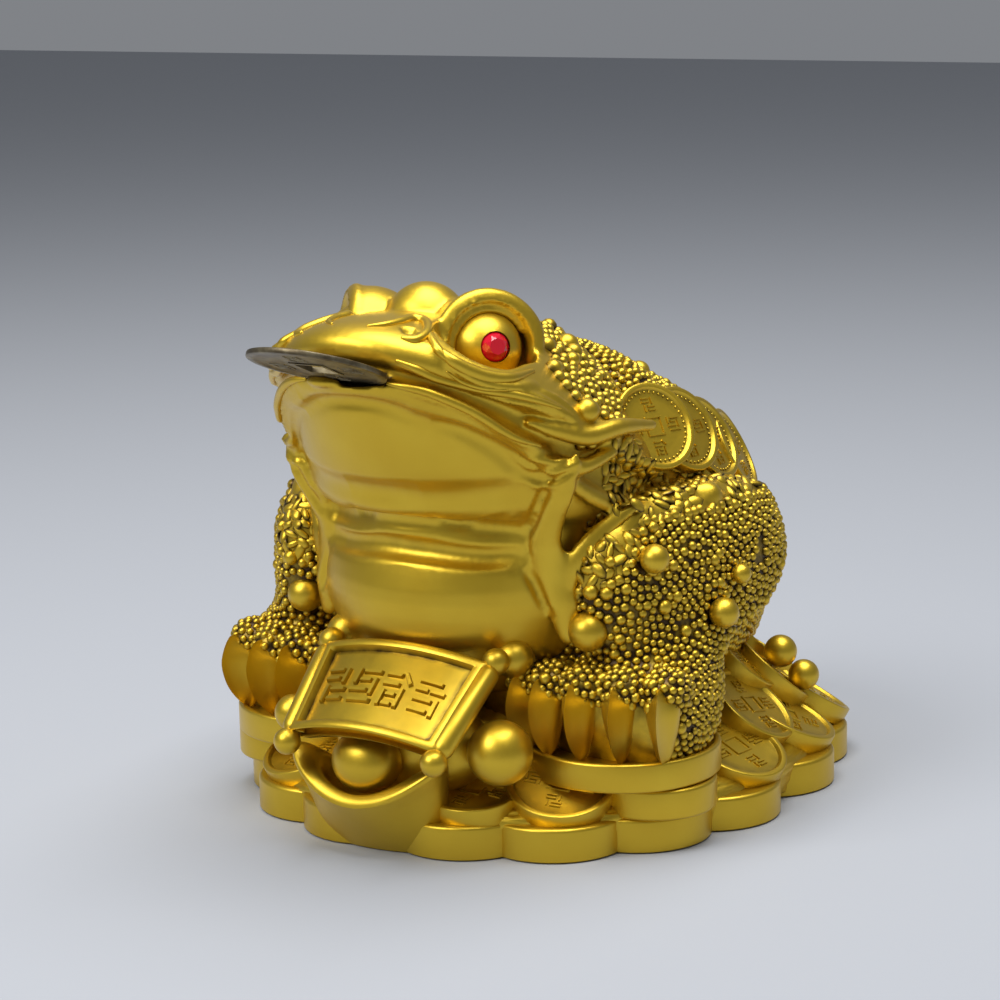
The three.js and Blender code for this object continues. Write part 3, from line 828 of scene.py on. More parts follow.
def makeClaws(side):
    frames = []
    for x in foreleg["toes"][side]:
        turn = (x - 24) * claw["splay"] * side
        back = (-math.sin(turn), math.cos(turn), 0)
        frames.append(frameAt((side * x, toeFront(x) + 1.2, claw["top"]), (0, 0, 1), back))
    made = copies("leftClaws" if side > 0 else "rightClaws", modelClaw(), frames)
    return softened(facing(made), 50)


claws = [makeClaws(side) for side in (1, -1)]
print("body and claws made")


# warts

warts = {
    "body": [
        ((29, -37.8, 36.8), 3.4),
        ((38.8, -32.6, 49), 2.5),
        ((44.4, -18.5, 37.4), 2.6),
        ((45.2, -13.5, 43.2), 1.7),
        ((-28.5, -36.5, 37), 3.2),
        ((-44.6, -19, 44), 2.2),
        ((-45.6, -8, 38), 2.4),
    ],
    # y, degrees from the ridge, radius
    "back": [(-6, 16, 2.3), (9, 20, 2), (4, -14, 2.2), (18, 16, 2)],
    # pixel of the photograph, radius, both sides
    "neck": [((567, 345), 2.0), ((624, 373), 2.0), ((587, 411), 2.1), ((572, 360), 1.4),
             ((545, 340), 1.2), ((600, 362), 1.2), ((640, 388), 1.3)],
    "arm": [((610, 562), 1.0), ((664, 607), 1.3), ((591, 592), 1.4), ((685, 631), 1.1),
            ((630, 615), 0.8), ((645, 468), 1.2)],
}
smoothPatches = {
    # along the top of the arm: line, width, height, both sides
    "lines": [([(704, 498), (711, 493), (718, 487)], 3.2, 1.5),
              ([(618, 523), (634, 514), (652, 504)], 2.4, 0.8)],
    "share": 0.75,  # of that width without beads
    # mm without beads round the barbel, the corner folds, the crown's ball and the eye's centre
    "fold": 2.7,
    "corner": 1.6,
    "crown": 0.8,
    "eye": 11.2,
}


def wartPlaces():
    spots = warts["body"] + [(tuple(onTorso(y, degrees)), r) for y, degrees, r in warts["back"]]
    for piece, key in ((toadHead, "neck"), (toadBody, "arm")):
        for pixel, radius in warts[key]:
            for point in onSurface(piece, [pixel]):
                spots += [(tuple(point * (side, 1, 1)), radius) for side in (1, -1)]
    return spots


def makeWarts():
    model = ball("wart", (0, -setBack, 0), 1, segments=20)
    frames = [frameAt(centre, (0, 0, 1), (0, 1, 0), (r, r, r)) for centre, r in wartSpots]
    made = copies("warts", model, frames)
    select(made)
    bpy.ops.object.shade_smooth()
    return made


wartSpots = wartPlaces()
wartBalls = makeWarts()
bareSpots = []  # balls round the smooth patches, where no beads stand


def keepBare(points, radius):
    for point in points:
        bareSpots.extend([(point * (side, 1, 1), radius) for side in (1, -1)])


keepBare(smoothRows(head["lipFold"][0], 5), smoothPatches["fold"])
for pixels, width, height in smoothPatches["lines"]:
    line = onSurface(toadBody, pixels)
    workBoth(toadBody, pixels, width, height, 0.4)
    if len(line) > 1:
        keepBare(smoothRows(line, 6), width * smoothPatches["share"])
for pixels, width, height in headLines["cornerFolds"][3:]:  # the ones that run over the neck
    line = onSurface(toadHead, pixels)
    if len(line) > 1:
        keepBare(smoothRows(line, 4), smoothPatches["corner"])
bareSpots.append((np.array(head["crown"][0]), head["crown"][1] + smoothPatches["crown"]))
keepBare([np.array(eyes["centre"])], smoothPatches["eye"])


# skin beads

beads = {
    "least": 1.16,  # between random points, before they are evened out
    "leastNeck": 1.5,
    "spread": 1.35,
    "rounds": 5,
    "fill": 0.49,  # radius as a share of the room
    "radius": (0.5, 1.15),
    "vary": (0.92, 1.08),
    "height": 1.0,
    "shadeAndWash": (0.82, 0.6),  # of the radius: height where the painted shade and brown wash at the bead's foot begin, and how far below it they are full
    "segments": 8,
    "perPiece": 4500,
    "tries": (200000, 120000),  # random points on the body and on the head
    "neckFrom": (-38.5, 68),  # y and z past which the head is beaded
    "offWarts": 0.35,
    "sink": 0.08,
    "askew": (0.31, 0.52, 0.79),  # a way that no bead faces
    "neighbours": 6,
    "roomOf": 5,  # nearest neighbours that a bead's room is measured by
    "inside": (0.2, 20),  # mm under another skin where no bead stands, and how far off that skin counts
    "big": (0.03, 1.45),  # share of the beads that are bigger, and by how much
    # leaf-like scales on the shoulders
    "scaleTries": 120000,
    "scaleApart": 1.45,
    "scaleSink": 0.1,
    "scale": (0.95, 1.7, 0.6),
    "scaleVary": (0.7, 1.2),
    "scaleLean": 0.22,
}


def modelBead():  # the upper half of a small ball, darkened towards its foot with painted shade and brown wash
    bpy.ops.mesh.primitive_uv_sphere_add(segments=beads["segments"], ring_count=6, radius=0.001)
    bead = bpy.context.active_object
    bpy.ops.object.mode_set(mode="EDIT")
    pick(bead, "faces", lambda face: face.calc_center_median().z < 0)
    bpy.ops.mesh.delete(type="FACE")
    bpy.ops.object.mode_set(mode="OBJECT")
    heights = coords(bead)[:, 2] * 1000
    begins, full = beads["shadeAndWash"]
    store(bead, np.clip((begins - heights) / full, 0, 1))
    return bead


def candidates(piece, count):  # even random points on a piece
    mesh = piece.data
    mesh.calc_loop_triangles()
    tris = np.empty(len(mesh.loop_triangles) * 3, int)
    mesh.loop_triangles.foreach_get("vertices", tris)
    co = inMm(piece)
    a, b, c = tris.reshape(-1, 3).T
    area = np.linalg.norm(np.cross(co[b] - co[a], co[c] - co[a]), axis=1)
    chosen = dice.choice(len(a), count, p=area / area.sum())
    u, v = dice.random(count), dice.random(count)
    flip = u + v > 1
    u[flip], v[flip] = 1 - u[flip], 1 - v[flip]
    return co[a[chosen]] * (1 - u - v)[:, None] + co[b[chosen]] * u[:, None] + co[c[chosen]] * v[:, None]


def thin(points, apart):  # keeps points that stand far enough from those kept before
    cells, kept = {}, []
    keys = np.floor(points / apart).astype(int).tolist()
    steps = [(i, j, k) for i in (-1, 0, 1) for j in (-1, 0, 1) for k in (-1, 0, 1)]
    for n, ((a, b, c), (x, y, z)) in enumerate(zip(keys, points.tolist())):
        near = (p for i, j, k in steps for p in cells.get((a + i, b + j, c + k), ()))
        if all((p[0] - x) ** 2 + (p[1] - y) ** 2 + (p[2] - z) ** 2 >= apart * apart for p in near):
            cells.setdefault((a, b, c), []).append((x, y, z))
            kept.append(n)
    return np.array(kept, int)


# neighbours push each other apart along the skin, and each point's room is given back too
def evened(piece, points, apart):
    for turn in range(beads["rounds"] + 1):
        tree = KDTree(len(points))
        for i, point in enumerate(points):
            tree.insert(point, i)
        tree.balance()
        near = [tree.find_n(point, beads["neighbours"] + 1)[1:] for point in points]
        away = points[:, None] - np.array([[other for other, _, _ in row] for row in near])
        far = np.array([[gap for _, _, gap in row] for row in near])
        room = far[:, : beads["roomOf"]].mean(1)
        if turn == beads["rounds"]:
            return points, ways, room
        push = np.clip(apart - far, 0, None) / np.maximum(far, 0.01) * 0.5
        points = points + (away * push[:, :, None]).sum(1) * 0.6
        closest = [piece.closest_point_on_mesh(Vector(p)) for p in place(points)]
        points = np.array([where for _, where, _, _ in closest]) * 1000 - (0, setBack, 0)
        ways = np.array([normal for _, _, normal, _ in closest])


def insideOf(piece, points):
    deep, reach = (mm * 0.001 for mm in beads["inside"])
    flags = []
    for p in place(points):
        _, where, normal, _ = piece.closest_point_on_mesh(Vector(p))
        gap = Vector(p) - where
        flags.append(gap.dot(normal) < -deep and gap.length < reach)
    return np.array(flags, bool)


def clear(points, spots):
    free = np.ones(len(points), bool)
    for centre, radius in spots:
        free &= np.linalg.norm(points - np.array(centre), axis=1) > radius
    return free


# where the skin is beaded or scaled, by its place in mm


def armTop(p):  # height where the beads of the arm stop
    return np.clip(44 + (p[:, 1] + 38) * 1.25, 40, 54.5)


def behindClaws(p):
    return (p[:, 2] < 25.5) & (np.abs(p[:, 0]) < 43) & (p[:, 1] < -34)


def beadedBody(p):
    x, y, z = np.abs(p[:, 0]), p[:, 1], p[:, 2]
    arm = (x > 24) & (z > 15) & (z < armTop(p)) & (y < 14) & ~behindClaws(p)
    knuckles = (z > 25.2) & (z < 33) & (y < -8) & (x > 14)
    back = (z > 15) & (y > -34) & ~((x > 24) & (y < 8) & (z < 66))
    return arm | knuckles | back


def beadedNeck(p):
    y, z = beads["neckFrom"]
    return (p[:, 1] > y) & (p[:, 2] > z)


def scaledBody(p):
    return (np.abs(p[:, 0]) > 18) & (p[:, 1] < 10) & (p[:, 2] > armTop(p) - 0.5) & (p[:, 2] < 70)


def scaledHead(p):
    return (p[:, 1] > -33) & (p[:, 2] > 44) & (p[:, 2] < 68.5)


def scatter(piece, count, where, least, others):
    points = candidates(piece, count)
    spots = [(centre, radius + beads["offWarts"]) for centre, radius in wartSpots] + bareSpots
    points = points[where(points) & clear(points, spots)]
    points = points[thin(points, least)]
    for other in others:
        points = points[~insideOf(other, points)]
    points, ways, room = evened(piece, points, least * beads["spread"])
    free = clear(points, spots) & ~np.any([insideOf(other, points) for other in others], axis=0)
    return points[free], ways[free], room[free]


def makeBeads():
    bodyTries, headTries = beads["tries"]
    onBody = scatter(toadBody, bodyTries, beadedBody, beads["least"], [toadHead])
    onHead = scatter(toadHead, headTries, beadedNeck, beads["leastNeck"], [toadBody])
    points, ways, room = (np.concatenate(both) for both in zip(onBody, onHead))
    radii = np.clip(room * beads["fill"], *beads["radius"]) * dice.uniform(*beads["vary"], len(points))
    share, bigger = beads["big"]
    radii *= np.where(dice.random(len(points)) < share, bigger, 1.0)
    made, model = [], modelBead()
    for start in range(0, len(points), beads["perPiece"]):
        frames = []
        for i in range(start, min(start + beads["perPiece"], len(points))):
            size = radii[i] * np.array((1, 1, beads["height"]))
            frames.append(frameAt(points[i] - ways[i] * beads["sink"], ways[i], beads["askew"], size))
        made.append(copies(f"skinBeads{len(made) + 1}", model, frames, keep=True))
    onBody = scatter(toadBody, beads["scaleTries"], scaledBody, beads["scaleApart"], [toadHead])
    onHead = scatter(toadHead, beads["scaleTries"], scaledHead, beads["scaleApart"], [toadBody])
    leaves, ways, _ = (np.concatenate(both) for both in zip(onBody, onHead))
    frames = []
    for point, way in zip(leaves, ways):
        lean = dice.normal(0, beads["scaleLean"], 3) + way
        size = np.array(beads["scale"]) * dice.uniform(*beads["scaleVary"], 3)
        frames.append(frameAt(point - way * beads["scaleSink"], lean, dice.normal(0, 1, 3), size))
    made.append(copies("shoulderScales", model, frames, keep=True))
    bpy.data.objects.remove(model)
    for piece in made:
        select(piece)
        bpy.ops.object.shade_smooth()
    print(len(points), "skin beads,", len(leaves), "shoulder scales")
    return made


# raised strokes: rows of plain bars that never cross, no letters

marks = [
    [((-0.9, 0.9), (0.2, 0.9)), ((0.65, 0.9), (0.65, 0.2)), ((-0.9, 0.4), (0.1, 0.4)),
     ((-0.6, -0.1), (-0.6, -0.9)), ((-0.1, -0.25), (0.9, -0.25)), ((-0.1, -0.8), (0.9, -0.8))],
    [((-0.8, 0.9), (-0.8, 0.2)), ((-0.3, 0.85), (0.9, 0.85)), ((-0.3, 0.35), (0.3, 0.35)),
     ((0.8, 0.4), (0.8, -0.4)), ((-0.9, -0.25), (0.3, -0.25)), ((-0.7, -0.85), (0.9, -0.85))],
    [((-0.9, 0.85), (0, 0.85)), ((0.4, 0.95), (0.9, 0.5)), ((-0.9, 0.3), (0.1, 0.3)),
     ((0.6, 0.05), (0.6, -0.9)), ((-0.75, -0.15), (-0.75, -0.9)), ((-0.3, -0.3), (0.1, -0.3)),
     ((-0.3, -0.85), (0.1, -0.85))],
    [((-0.9, 0.85), (0.5, 0.85)), ((-0.9, 0.35), (-0.3, 0.35)), ((0.15, 0.35), (0.9, 0.35)),
     ((0.75, -0.1), (0.75, -0.9)), ((-0.8, -0.2), (0.3, -0.2)), ((-0.8, -0.8), (0.3, -0.8))],
]


def modelStroke():  # a bar one mm long, wide and high, narrower on top
    bpy.ops.mesh.primitive_cube_add(size=0.001)
    bar = bpy.context.active_object
    bpy.ops.object.mode_set(mode="EDIT")
    pickFlat(bar)
    bpy.ops.transform.resize(value=(0.86, 0.6, 1))
    bpy.ops.object.mode_set(mode="OBJECT")
    # painted shade and brown wash round the foot of the bar
    store(bar, np.where(coords(bar)[:, 2] > 0, 0.0, 0.7))
    return bar


def strokeFrames(lines, middle, size, width, height, lift, onto=None):
    frames = []
    for start, stop in lines:
        a = np.array(middle) + np.array(start) * size
        b = np.array(middle) + np.array(stop) * size
        half = (b - a) / 2
        scale = (np.linalg.norm(half) * 2 + width, width, height)
        if onto:
            centre, across, along, out = onto(*((a + b) / 2))
            way = across * half[0] + along * half[1]
            frames.append(frameAt(centre + out * lift, out, np.cross(out, way), scale))
        else:
            frames.append(frameAt((*(a + b) / 2, lift), (0, 0, 1), (-half[1], half[0], 0), scale))
    return frames


# struck coins of the heap and of the strings over the back

struckCoin = {
    "sides": 48,
    "rim": 0.11,  # shares of the radius
    "slope": 0.05,
    "field": 0.3,
    "frame": 0.2,
    "markAt": 0.5,
    "markSize": 0.16,
    "sunk": 0.55,
    "edge": 0.28,
    "innerEdge": 0.08,
    "stroke": 0.5,
    "markStroke": 0.36,
    "strokeHigh": 0.34,
    "dots": (40, 0.79, 0.26),  # how many, share of the radius, size
}
aroundHole = [(0, 1), (1, 0), (0, -1), (-1, 0)]  # where a coin's four marks stand


def modelCoin(radius, thickness, dots):
    style = struckCoin
    coin = disc(radius, thickness, style["sides"])
    bpy.ops.object.mode_set(mode="EDIT")
    pickFlat(coin)
    insetFaces(style["rim"] * radius)
    insetFaces(style["slope"] * radius, -style["sunk"])
    insetFaces(style["field"] * radius)
    roundEdges(coin, rightAngle, style["edge"], 3)
    roundEdges(coin, slopeFoot, style["innerEdge"], 2)
    bpy.ops.object.mode_set(mode="OBJECT")
    co = coords(coin) * 1000
    out = np.linalg.norm(co[:, :2], axis=1)
    field = (out < radius * (1 - style["rim"])) & (np.abs(co[:, 2] - thickness / 2 + style["sunk"]) < 0.2)
    # painted shade and brown wash in the sunk field, darkest by the rim
    store(coin, np.where(field, np.where(out > radius * 0.75, 0.4, 0.06), 0.0))
    floor = thickness / 2 - style["sunk"]
    half = style["frame"] * radius
    box = [((-1, 1), (1, 1)), ((1, 1), (1, -1)), ((1, -1), (-1, -1)), ((-1, -1), (-1, 1))]
    lift = floor + style["strokeHigh"] * 0.3
    frames = strokeFrames(box, (0, 0), (half, half), style["stroke"], style["strokeHigh"], lift)
    reach, wide = style["markAt"] * radius, style["markSize"] * radius
    for lines, (x, y) in zip(marks, aroundHole):
        at = (x * reach, y * reach)
        frames += strokeFrames(lines, at, (wide, wide), style["markStroke"], style["strokeHigh"], lift)
    parts = [coin, toOrigin(copies("strokes", modelStroke(), frames))]
    if dots:
        count, share, dotSize = style["dots"]
        turns = np.linspace(0, 2 * np.pi, count, endpoint=False)
        ring = [(radius * share * math.cos(t), radius * share * math.sin(t), floor) for t in turns]
        frames = [frameAt(dot, (0, 0, 1), (0, 1, 0), (dotSize,) * 3) for dot in ring]
        parts.append(toOrigin(copies("dots", modelBead(), frames)))
    return join("coinModel", parts)


heap = {
    "width": 102,
    "length": 115,
    "power": 0.87,  # below 1 the oval is a little squarer
    "tier": 5.8,
    "coins": 16,
    "shift": 0.456,
    "blank": 12.6,
    "faceCoin": 3.6,
    "bevel": 0.7,
    # places in the ring, inset, height over the lowest ring, lean, radius; mirrored on the other side
    "rows": [
        ((-3.85,), 9.8, 2.8, 12, 8.8),
        ((-2.95, -0.8, 0.15, 2.15, 3.15), 9.6, 4.3, 26, 9.2),
        ((1.15,), 8.2, 4.6, 32, 9.2),
        ((-0.3,), 13, 8.4, 38, 8.6),
        ((0.8,), 14.6, 10.4, 42, 8.8),
        ((1.75, 2.7), 14.5, 9.8, 38, 8.6),
        ((0.35, 1.35), 19, 14.2, 44, 8),
    ],
    # plain coin below each plate: place, inset, height, radius, thickness
    "under": (-1.93, 8.6, 8.4, 10.6, 5.2),
    "underEdge": 0.6,
    "rear": (3.544, 15, 10, 38, 9),
    # height, inset from the outline
    "mound": [(1, 4.5), (6, 3.6), (7.6, 5), (10, 9.6), (13, 13.2), (18, 18), (22, 22.5), (26, 29), (28, 36)],
    "grit": 0.11,
    "plate": ((29.8, -27.7, 13.6), 16.6, 5),
    "plateRim": 0.9,
    "plateSunk": 0.9,
    "plateSlope": 0.9,
    "plateEdge": 0.5,
}


def roundHeap(turns, inset, z):
    t = turns * 2 * math.pi
    wide = (heap["width"] / 2 - inset) * squared(math.cos(t), heap["power"])
    deep = (heap["length"] / 2 - inset) * squared(math.sin(t), heap["power"])
    return np.array((wide, deep, z))


def scallops(radius, z):  # outline of the ring of blank coins
    count = heap["coins"]
    hubs = [roundHeap((i + heap["shift"]) / count, heap["blank"], z) for i in range(count)]

    def notch(a, b):
        out = np.array((b[1] - a[1], a[0] - b[0], 0))
        half = np.linalg.norm(b - a) / 2
        return (a + b) / 2 + out / np.linalg.norm(out) * math.sqrt(max(radius**2 - half**2, 0.04))

    outline = []
    for i, hub in enumerate(hubs):
        start = notch(hubs[i - 1], hub) - hub
        stop = notch(hub, hubs[(i + 1) % count]) - hub
        a, b = (math.atan2(v[1], v[0]) for v in (start, stop))
        if b < a:
            b += 2 * math.pi
        for t in np.linspace(a, b, 16):
            outline.append(hub + radius * np.array((math.cos(t), math.sin(t), 0)))
    return outline


def makeTier():
    radius, top, bevel = heap["blank"], heap["tier"], heap["bevel"]
    turns = np.linspace(0, math.pi / 2, 5)
    edge = [(bevel * (1 - math.cos(t)), top - bevel * (1 - math.sin(t))) for t in turns]
    steps = [(0.15, 0), (0, 0.15)] + edge
    rings = [scallops(radius - inset, z) for inset, z in steps] + [scallops(radius - 2, top)]
    return softened(loft("blankTier", rings), 40)


def leaningCoin(turn, inset, rise, lean, radius, twist):
    tilt = math.radians(lean)
    centre = roundHeap((turn + heap["shift"]) / heap["coins"], inset, heap["tier"] + rise)
    out = np.array((centre[0], centre[1], 0)) / np.linalg.norm(centre[:2])
    normal = out * math.sin(tilt) + np.array((0, 0, math.cos(tilt)))
    return radius, frameAt(centre, normal, out + np.cross(normal, out) * twist)


def makeHeapCoins():
    across = heap["coins"] / 2 - 2 * heap["shift"]
    coins = [leaningCoin(*heap["rear"], 0.2)]
    for places, *size in heap["rows"]:
        for i, turn in enumerate(places):
            twist = 0.35 * (i % 3) - 0.3
            coins += [leaningCoin(turn, *size, twist), leaningCoin(across - turn, *size, -twist)]
    pieces = []
    for radius in sorted({coin[0] for coin in coins}):
        frames = [lie for size, lie in coins if size == radius]
        pieces.append(copies("heapCoins", modelCoin(radius, heap["faceCoin"], False), frames))
    turn, inset, height, radius, thickness = heap["under"]
    plain = finish(disc(radius, thickness, 72), "BEVEL", width=heap["underEdge"] * 0.001, segments=4)
    centre = roundHeap((turn + heap["shift"]) / heap["coins"], inset, height)
    frames = [frameAt(centre * (side, 1, 1), (0, 0, 1), (0, 1, 0)) for side in (1, -1)]
    pieces.append(copies("plainCoins", plain, frames))
    return softened(facing(join("heapCoins", pieces)), 35)


def makeMound():
    rings = []
    for height, inset in smoothRows(heap["mound"], 9):
        rings.append([roundHeap(i / 280, inset, height) for i in range(280)])
    mound = loft("mound", rings)
    rough = dice.normal(0, heap["grit"], len(mound.data.vertices))
    reshape(mound, inMm(mound) + normals(mound) * rough[:, None])
    return softened(mound, 80)


def makePlates():
    (x, y, z), radius, thickness = heap["plate"]
    plate = disc(radius, thickness, 96)
    bpy.ops.object.mode_set(mode="EDIT")
    pickFlat(plate)
    insetFaces(heap["plateRim"])
    insetFaces(heap["plateSlope"], -heap["plateSunk"])
    roundEdges(plate, rightAngle, heap["plateEdge"], 3)
    bpy.ops.object.mode_set(mode="OBJECT")
    frames = [frameAt((side * x, y, z), (0, 0, 1), (0, 1, 0)) for side in (1, -1)]
    return softened(copies("pawPlates", plate, frames), 35)


strings = {
    "radius": 7.8,
    "thickness": 1.8,
    "coins": [
        ((30.8, -17.5, 68), (0.8, -0.37, 0.47)),
        ((31.4, -8, 66), (0.86, -0.15, 0.48)),
        ((31.2, 2, 62.8), (0.87, 0.05, 0.48)),
        ((30.8, 12.4, 59), (0.84, 0.28, 0.46)),
    ],
}


def makeBackCoins():
    frames = []
    for side in (1, -1):
        for (x, y, z), (nx, ny, nz) in strings["coins"]:
            frames.append(frameAt((side * x, y, z), (side * nx, ny, nz)))
    model = modelCoin(strings["radius"], strings["thickness"], True)
    return softened(facing(copies("backCoins", model, frames)), 35)


blankTier = makeTier()
heapCoins = makeHeapCoins()
mound = makeMound()
pawPlates = makePlates()
backCoins = makeBackCoins()
print("coins made")

for (x, y, z), _ in strings["coins"]:  # no beads under the strings of coins
    bareSpots += [((side * x, y, z), strings["radius"] - 0.5) for side in (1, -1)]
skinBeads = makeBeads()


# pearls, ingot and scroll

pearls = [
    ((19.2, -50.7, 18), 5.5),
    ((-21.5, -51.5, 20), 3.2),
    ((16.8, -41.5, 31.6), 3.3),
    ((-16.8, -41.5, 32.6), 3.3),
    ((36, 21, 20.6), 3),
    ((-36, 21, 20.6), 3),
    ((39.6, 23.2, 16.1), 2.8),
    ((-39.6, 23.2, 16.1), 2.8),
]


def makePearls():
    model = ball("pearl", (0, -setBack, 0), 1, segments=40)
    frames = [frameAt(centre, (0, 0, 1), (0, 1, 0), (r, r, r)) for centre, r in pearls]
    made = copies("pearls", model, frames)
    select(made)
    bpy.ops.object.shade_smooth()
    return made


ingot = {
    "centre": (-2.8, -56.4),
    "width": 30,
    "length": 14,
    "height": 16.6,
    # half width, half depth, height at the front, height at the horns, set back, as shares
    "apron": [(0.8, 0.74, 0, 0, 0.72), (0.85, 0.85, 0.2, 0.3, 0.5),
              (0.93, 0.96, 0.42, 0.74, 0.2), (0.99, 1, 0.54, 0.96, 0)],
    "rim": [(0.985, 0.985, 0.57, 0.995, 0), (0.95, 0.95, 0.6, 1, 0), (0.72, 0.8, 0.65, 0.92, 0),
            (0.64, 0.74, 0.65, 0.87, 0)],
    "bowl": [(0.6, 0.71, 0.62, 0.8, 0), (0.5, 0.55, 0.54, 0.66, 0), (0.3, 0.3, 0.5, 0.5, 0)],
    "egg": (0.9, 0.93, (6.2, 5.2, 5.4)),  # forward of the middle, height as a share, radii
}


def makeIngot():
    x, y = ingot["centre"]
    t = np.arange(72) / 72 * 2 * np.pi
    across, along, tall = ingot["width"] / 2, ingot["length"] / 2, ingot["height"]
    rings = []
    for part, steps in (("apron", 6), ("rim", 3), ("bowl", 4)):
        for wide, deep, low, high, back in smoothRows(ingot[part], steps):
            level = tall * (low + (high - low) * np.cos(t) ** 2)
            aside = x + across * wide * np.cos(t)
            rings.append(np.stack([aside, y + along * (deep * np.sin(t) + back), level], 1))
    boat = softened(loft("ingot", rings), 50)
    forward, share, radii = ingot["egg"]
    egg = ball("ingotEgg", (x, y - forward, tall * share), radii, segments=40)
    select(egg)
    bpy.ops.object.shade_smooth()
    return [boat, egg]


scroll = {
    "top": (0, -47.6, 31.4),
    "foot": (0, -62.6, 19.8),
    "topWidth": 32.4,
    "footWidth": 29,
    "arch": 3.2,
    "thickness": 3,
    "border": 0.14,  # shares of the half width and half length
    "borderEnds": 0.2,
    "sunk": 1.3,
    "roller": 1.9,
    "knob": 2.3,
    "overhang": 3,
    "sheet": 2.6,  # the panel's own thickness
    "rest": ((0, -47, 16.5), (14.5, 8.4, 9)),  # the cast's filling below the panel
    "markAt": (-9.3, -3.1, 3.1, 9.3),
    "markSize": (2.45, 3.5),
    "stroke": (0.95, 0.8),
}


def onScroll(s, t):  # s across from -1 to 1, t from the foot 0 to the top 1
    foot, top = np.array(scroll["foot"], float), np.array(scroll["top"], float)
    along = (top - foot) / np.linalg.norm(top - foot)
    across = np.array((1.0, 0, 0))
    out = np.cross(across, along)
    half = (scroll["footWidth"] + (scroll["topWidth"] - scroll["footWidth"]) * t) / 2
    lean = across - out * 2 * scroll["arch"] * s / half
    lean /= np.linalg.norm(lean)
    lift = scroll["arch"] * (1 - s * s) + scroll["thickness"] / 2
    centre = foot + (top - foot) * t + across * s * half + out * lift
    return centre, lean, along, np.cross(lean, along)


def onScrollMm(u, v):  # mm from the panel's middle, on its sunk face
    half = (scroll["footWidth"] + scroll["topWidth"]) / 4
    length = np.linalg.norm(np.subtract(scroll["top"], scroll["foot"]))
    centre, lean, along, normal = onScroll(u / half, 0.5 + v / length)
    return centre - normal * scroll["sunk"], lean, along, normal


def makePanel():
    border, ends = scroll["border"], scroll["borderEnds"]
    # columns and rows of the panel, closer together where its border is rounded
    edge = [-1, -0.985, -0.95, -1 + border * 0.62, -1 + border * 0.8, -1 + border]
    s = edge + np.linspace(-1 + border, 1 - border, 34)[1:-1].tolist() + [-v for v in edge[::-1]]
    edge = [0, 0.012, 0.035, ends * 0.31, ends * 0.4, ends * 0.5]
    t = edge + np.linspace(ends * 0.5, 1 - ends * 0.5, 20)[1:-1].tolist() + [1 - v for v in edge[::-1]]
    bpy.ops.mesh.primitive_grid_add(x_subdivisions=len(s) - 1, y_subdivisions=len(t) - 1, size=2)
    panel = bpy.context.active_object
    panel.name = "scrollPanel"
    co = coords(panel)
    column = np.rint((co[:, 0] + 1) / 2 * (len(s) - 1)).astype(int)
    row = np.rint((co[:, 1] + 1) / 2 * (len(t) - 1)).astype(int)
    mm, amount = [], []
    for i, j in zip(column, row):
        centre, _, _, normal = onScroll(s[i], t[j])
        deep = min((1 - abs(s[i])) / border, min(t[j], 1 - t[j]) * 2 / ends)
        lift = -0.35 * max(0, 1 - deep * 6)
        if deep >= 0.99:
            lift = -scroll["sunk"]
        elif deep > 0.7:
            lift = -scroll["sunk"] * 0.55 * (deep - 0.6)
        mm.append(centre + normal * lift)
        # painted shade and brown wash where the border steps down into the sunk field, lighter in the field
        amount.append(0.75 if 0.9 < deep < 1.25 else 0.2 if deep >= 0.99 else 0.0)
    reshape(panel, np.array(mm))
    store(panel, amount)
    finish(panel, "SOLIDIFY", thickness=scroll["sheet"] * 0.001, offset=-1)
    return softened(facing(panel), 45)


def makeScrollStrokes():
    wide, high = scroll["stroke"]
    frames = []
    for lines, x in zip(marks, scroll["markAt"]):
        size = scroll["markSize"]
        frames += strokeFrames(lines, (x, 0), size, wide, high, high * 0.3, onScrollMm)
    return softened(facing(copies("scrollStrokes", modelStroke(), frames)), 30)


def makeRollers():
    rollers = []
    over, r, knob = scroll["overhang"], scroll["roller"], scroll["knob"]
    for side in (1, -1):
        low = np.array(scroll["foot"], float) + (side * scroll["footWidth"] / 2, 0, 0)
        high = np.array(scroll["top"], float) + (side * scroll["topWidth"] / 2, 0, 0)
        length = np.linalg.norm(high - low)
        turns = np.linspace(0.25, 2.5, 9)
        bulb = [(-over + knob * (1 - math.cos(a)) - 0.6, knob * math.sin(a)) for a in turns]
        stem = [(0.9, r * 0.86), (1.6, r)]
        half = bulb + stem
        other = [(length - along, radius) for along, radius in half[::-1]]
        profile = half + [(length / 2, r * 1.03)] + other
        rollers.append(turned("roller", low, high, profile, 28))
    return softened(join("scrollRollers", rollers), 60)


def makeScrollRest():
    rest = ball("scrollRest", *scroll["rest"], segments=40)
    select(rest)
    bpy.ops.object.shade_smooth()
    return rest


pearlBalls = makePearls()
scrollRest = makeScrollRest()
ingotBoat, ingotEgg = makeIngot()
scrollPanel = makePanel()
scrollStrokes = makeScrollStrokes()
scrollRollers = makeRollers()
print("pearls, ingot and scroll made")


# the loose coin


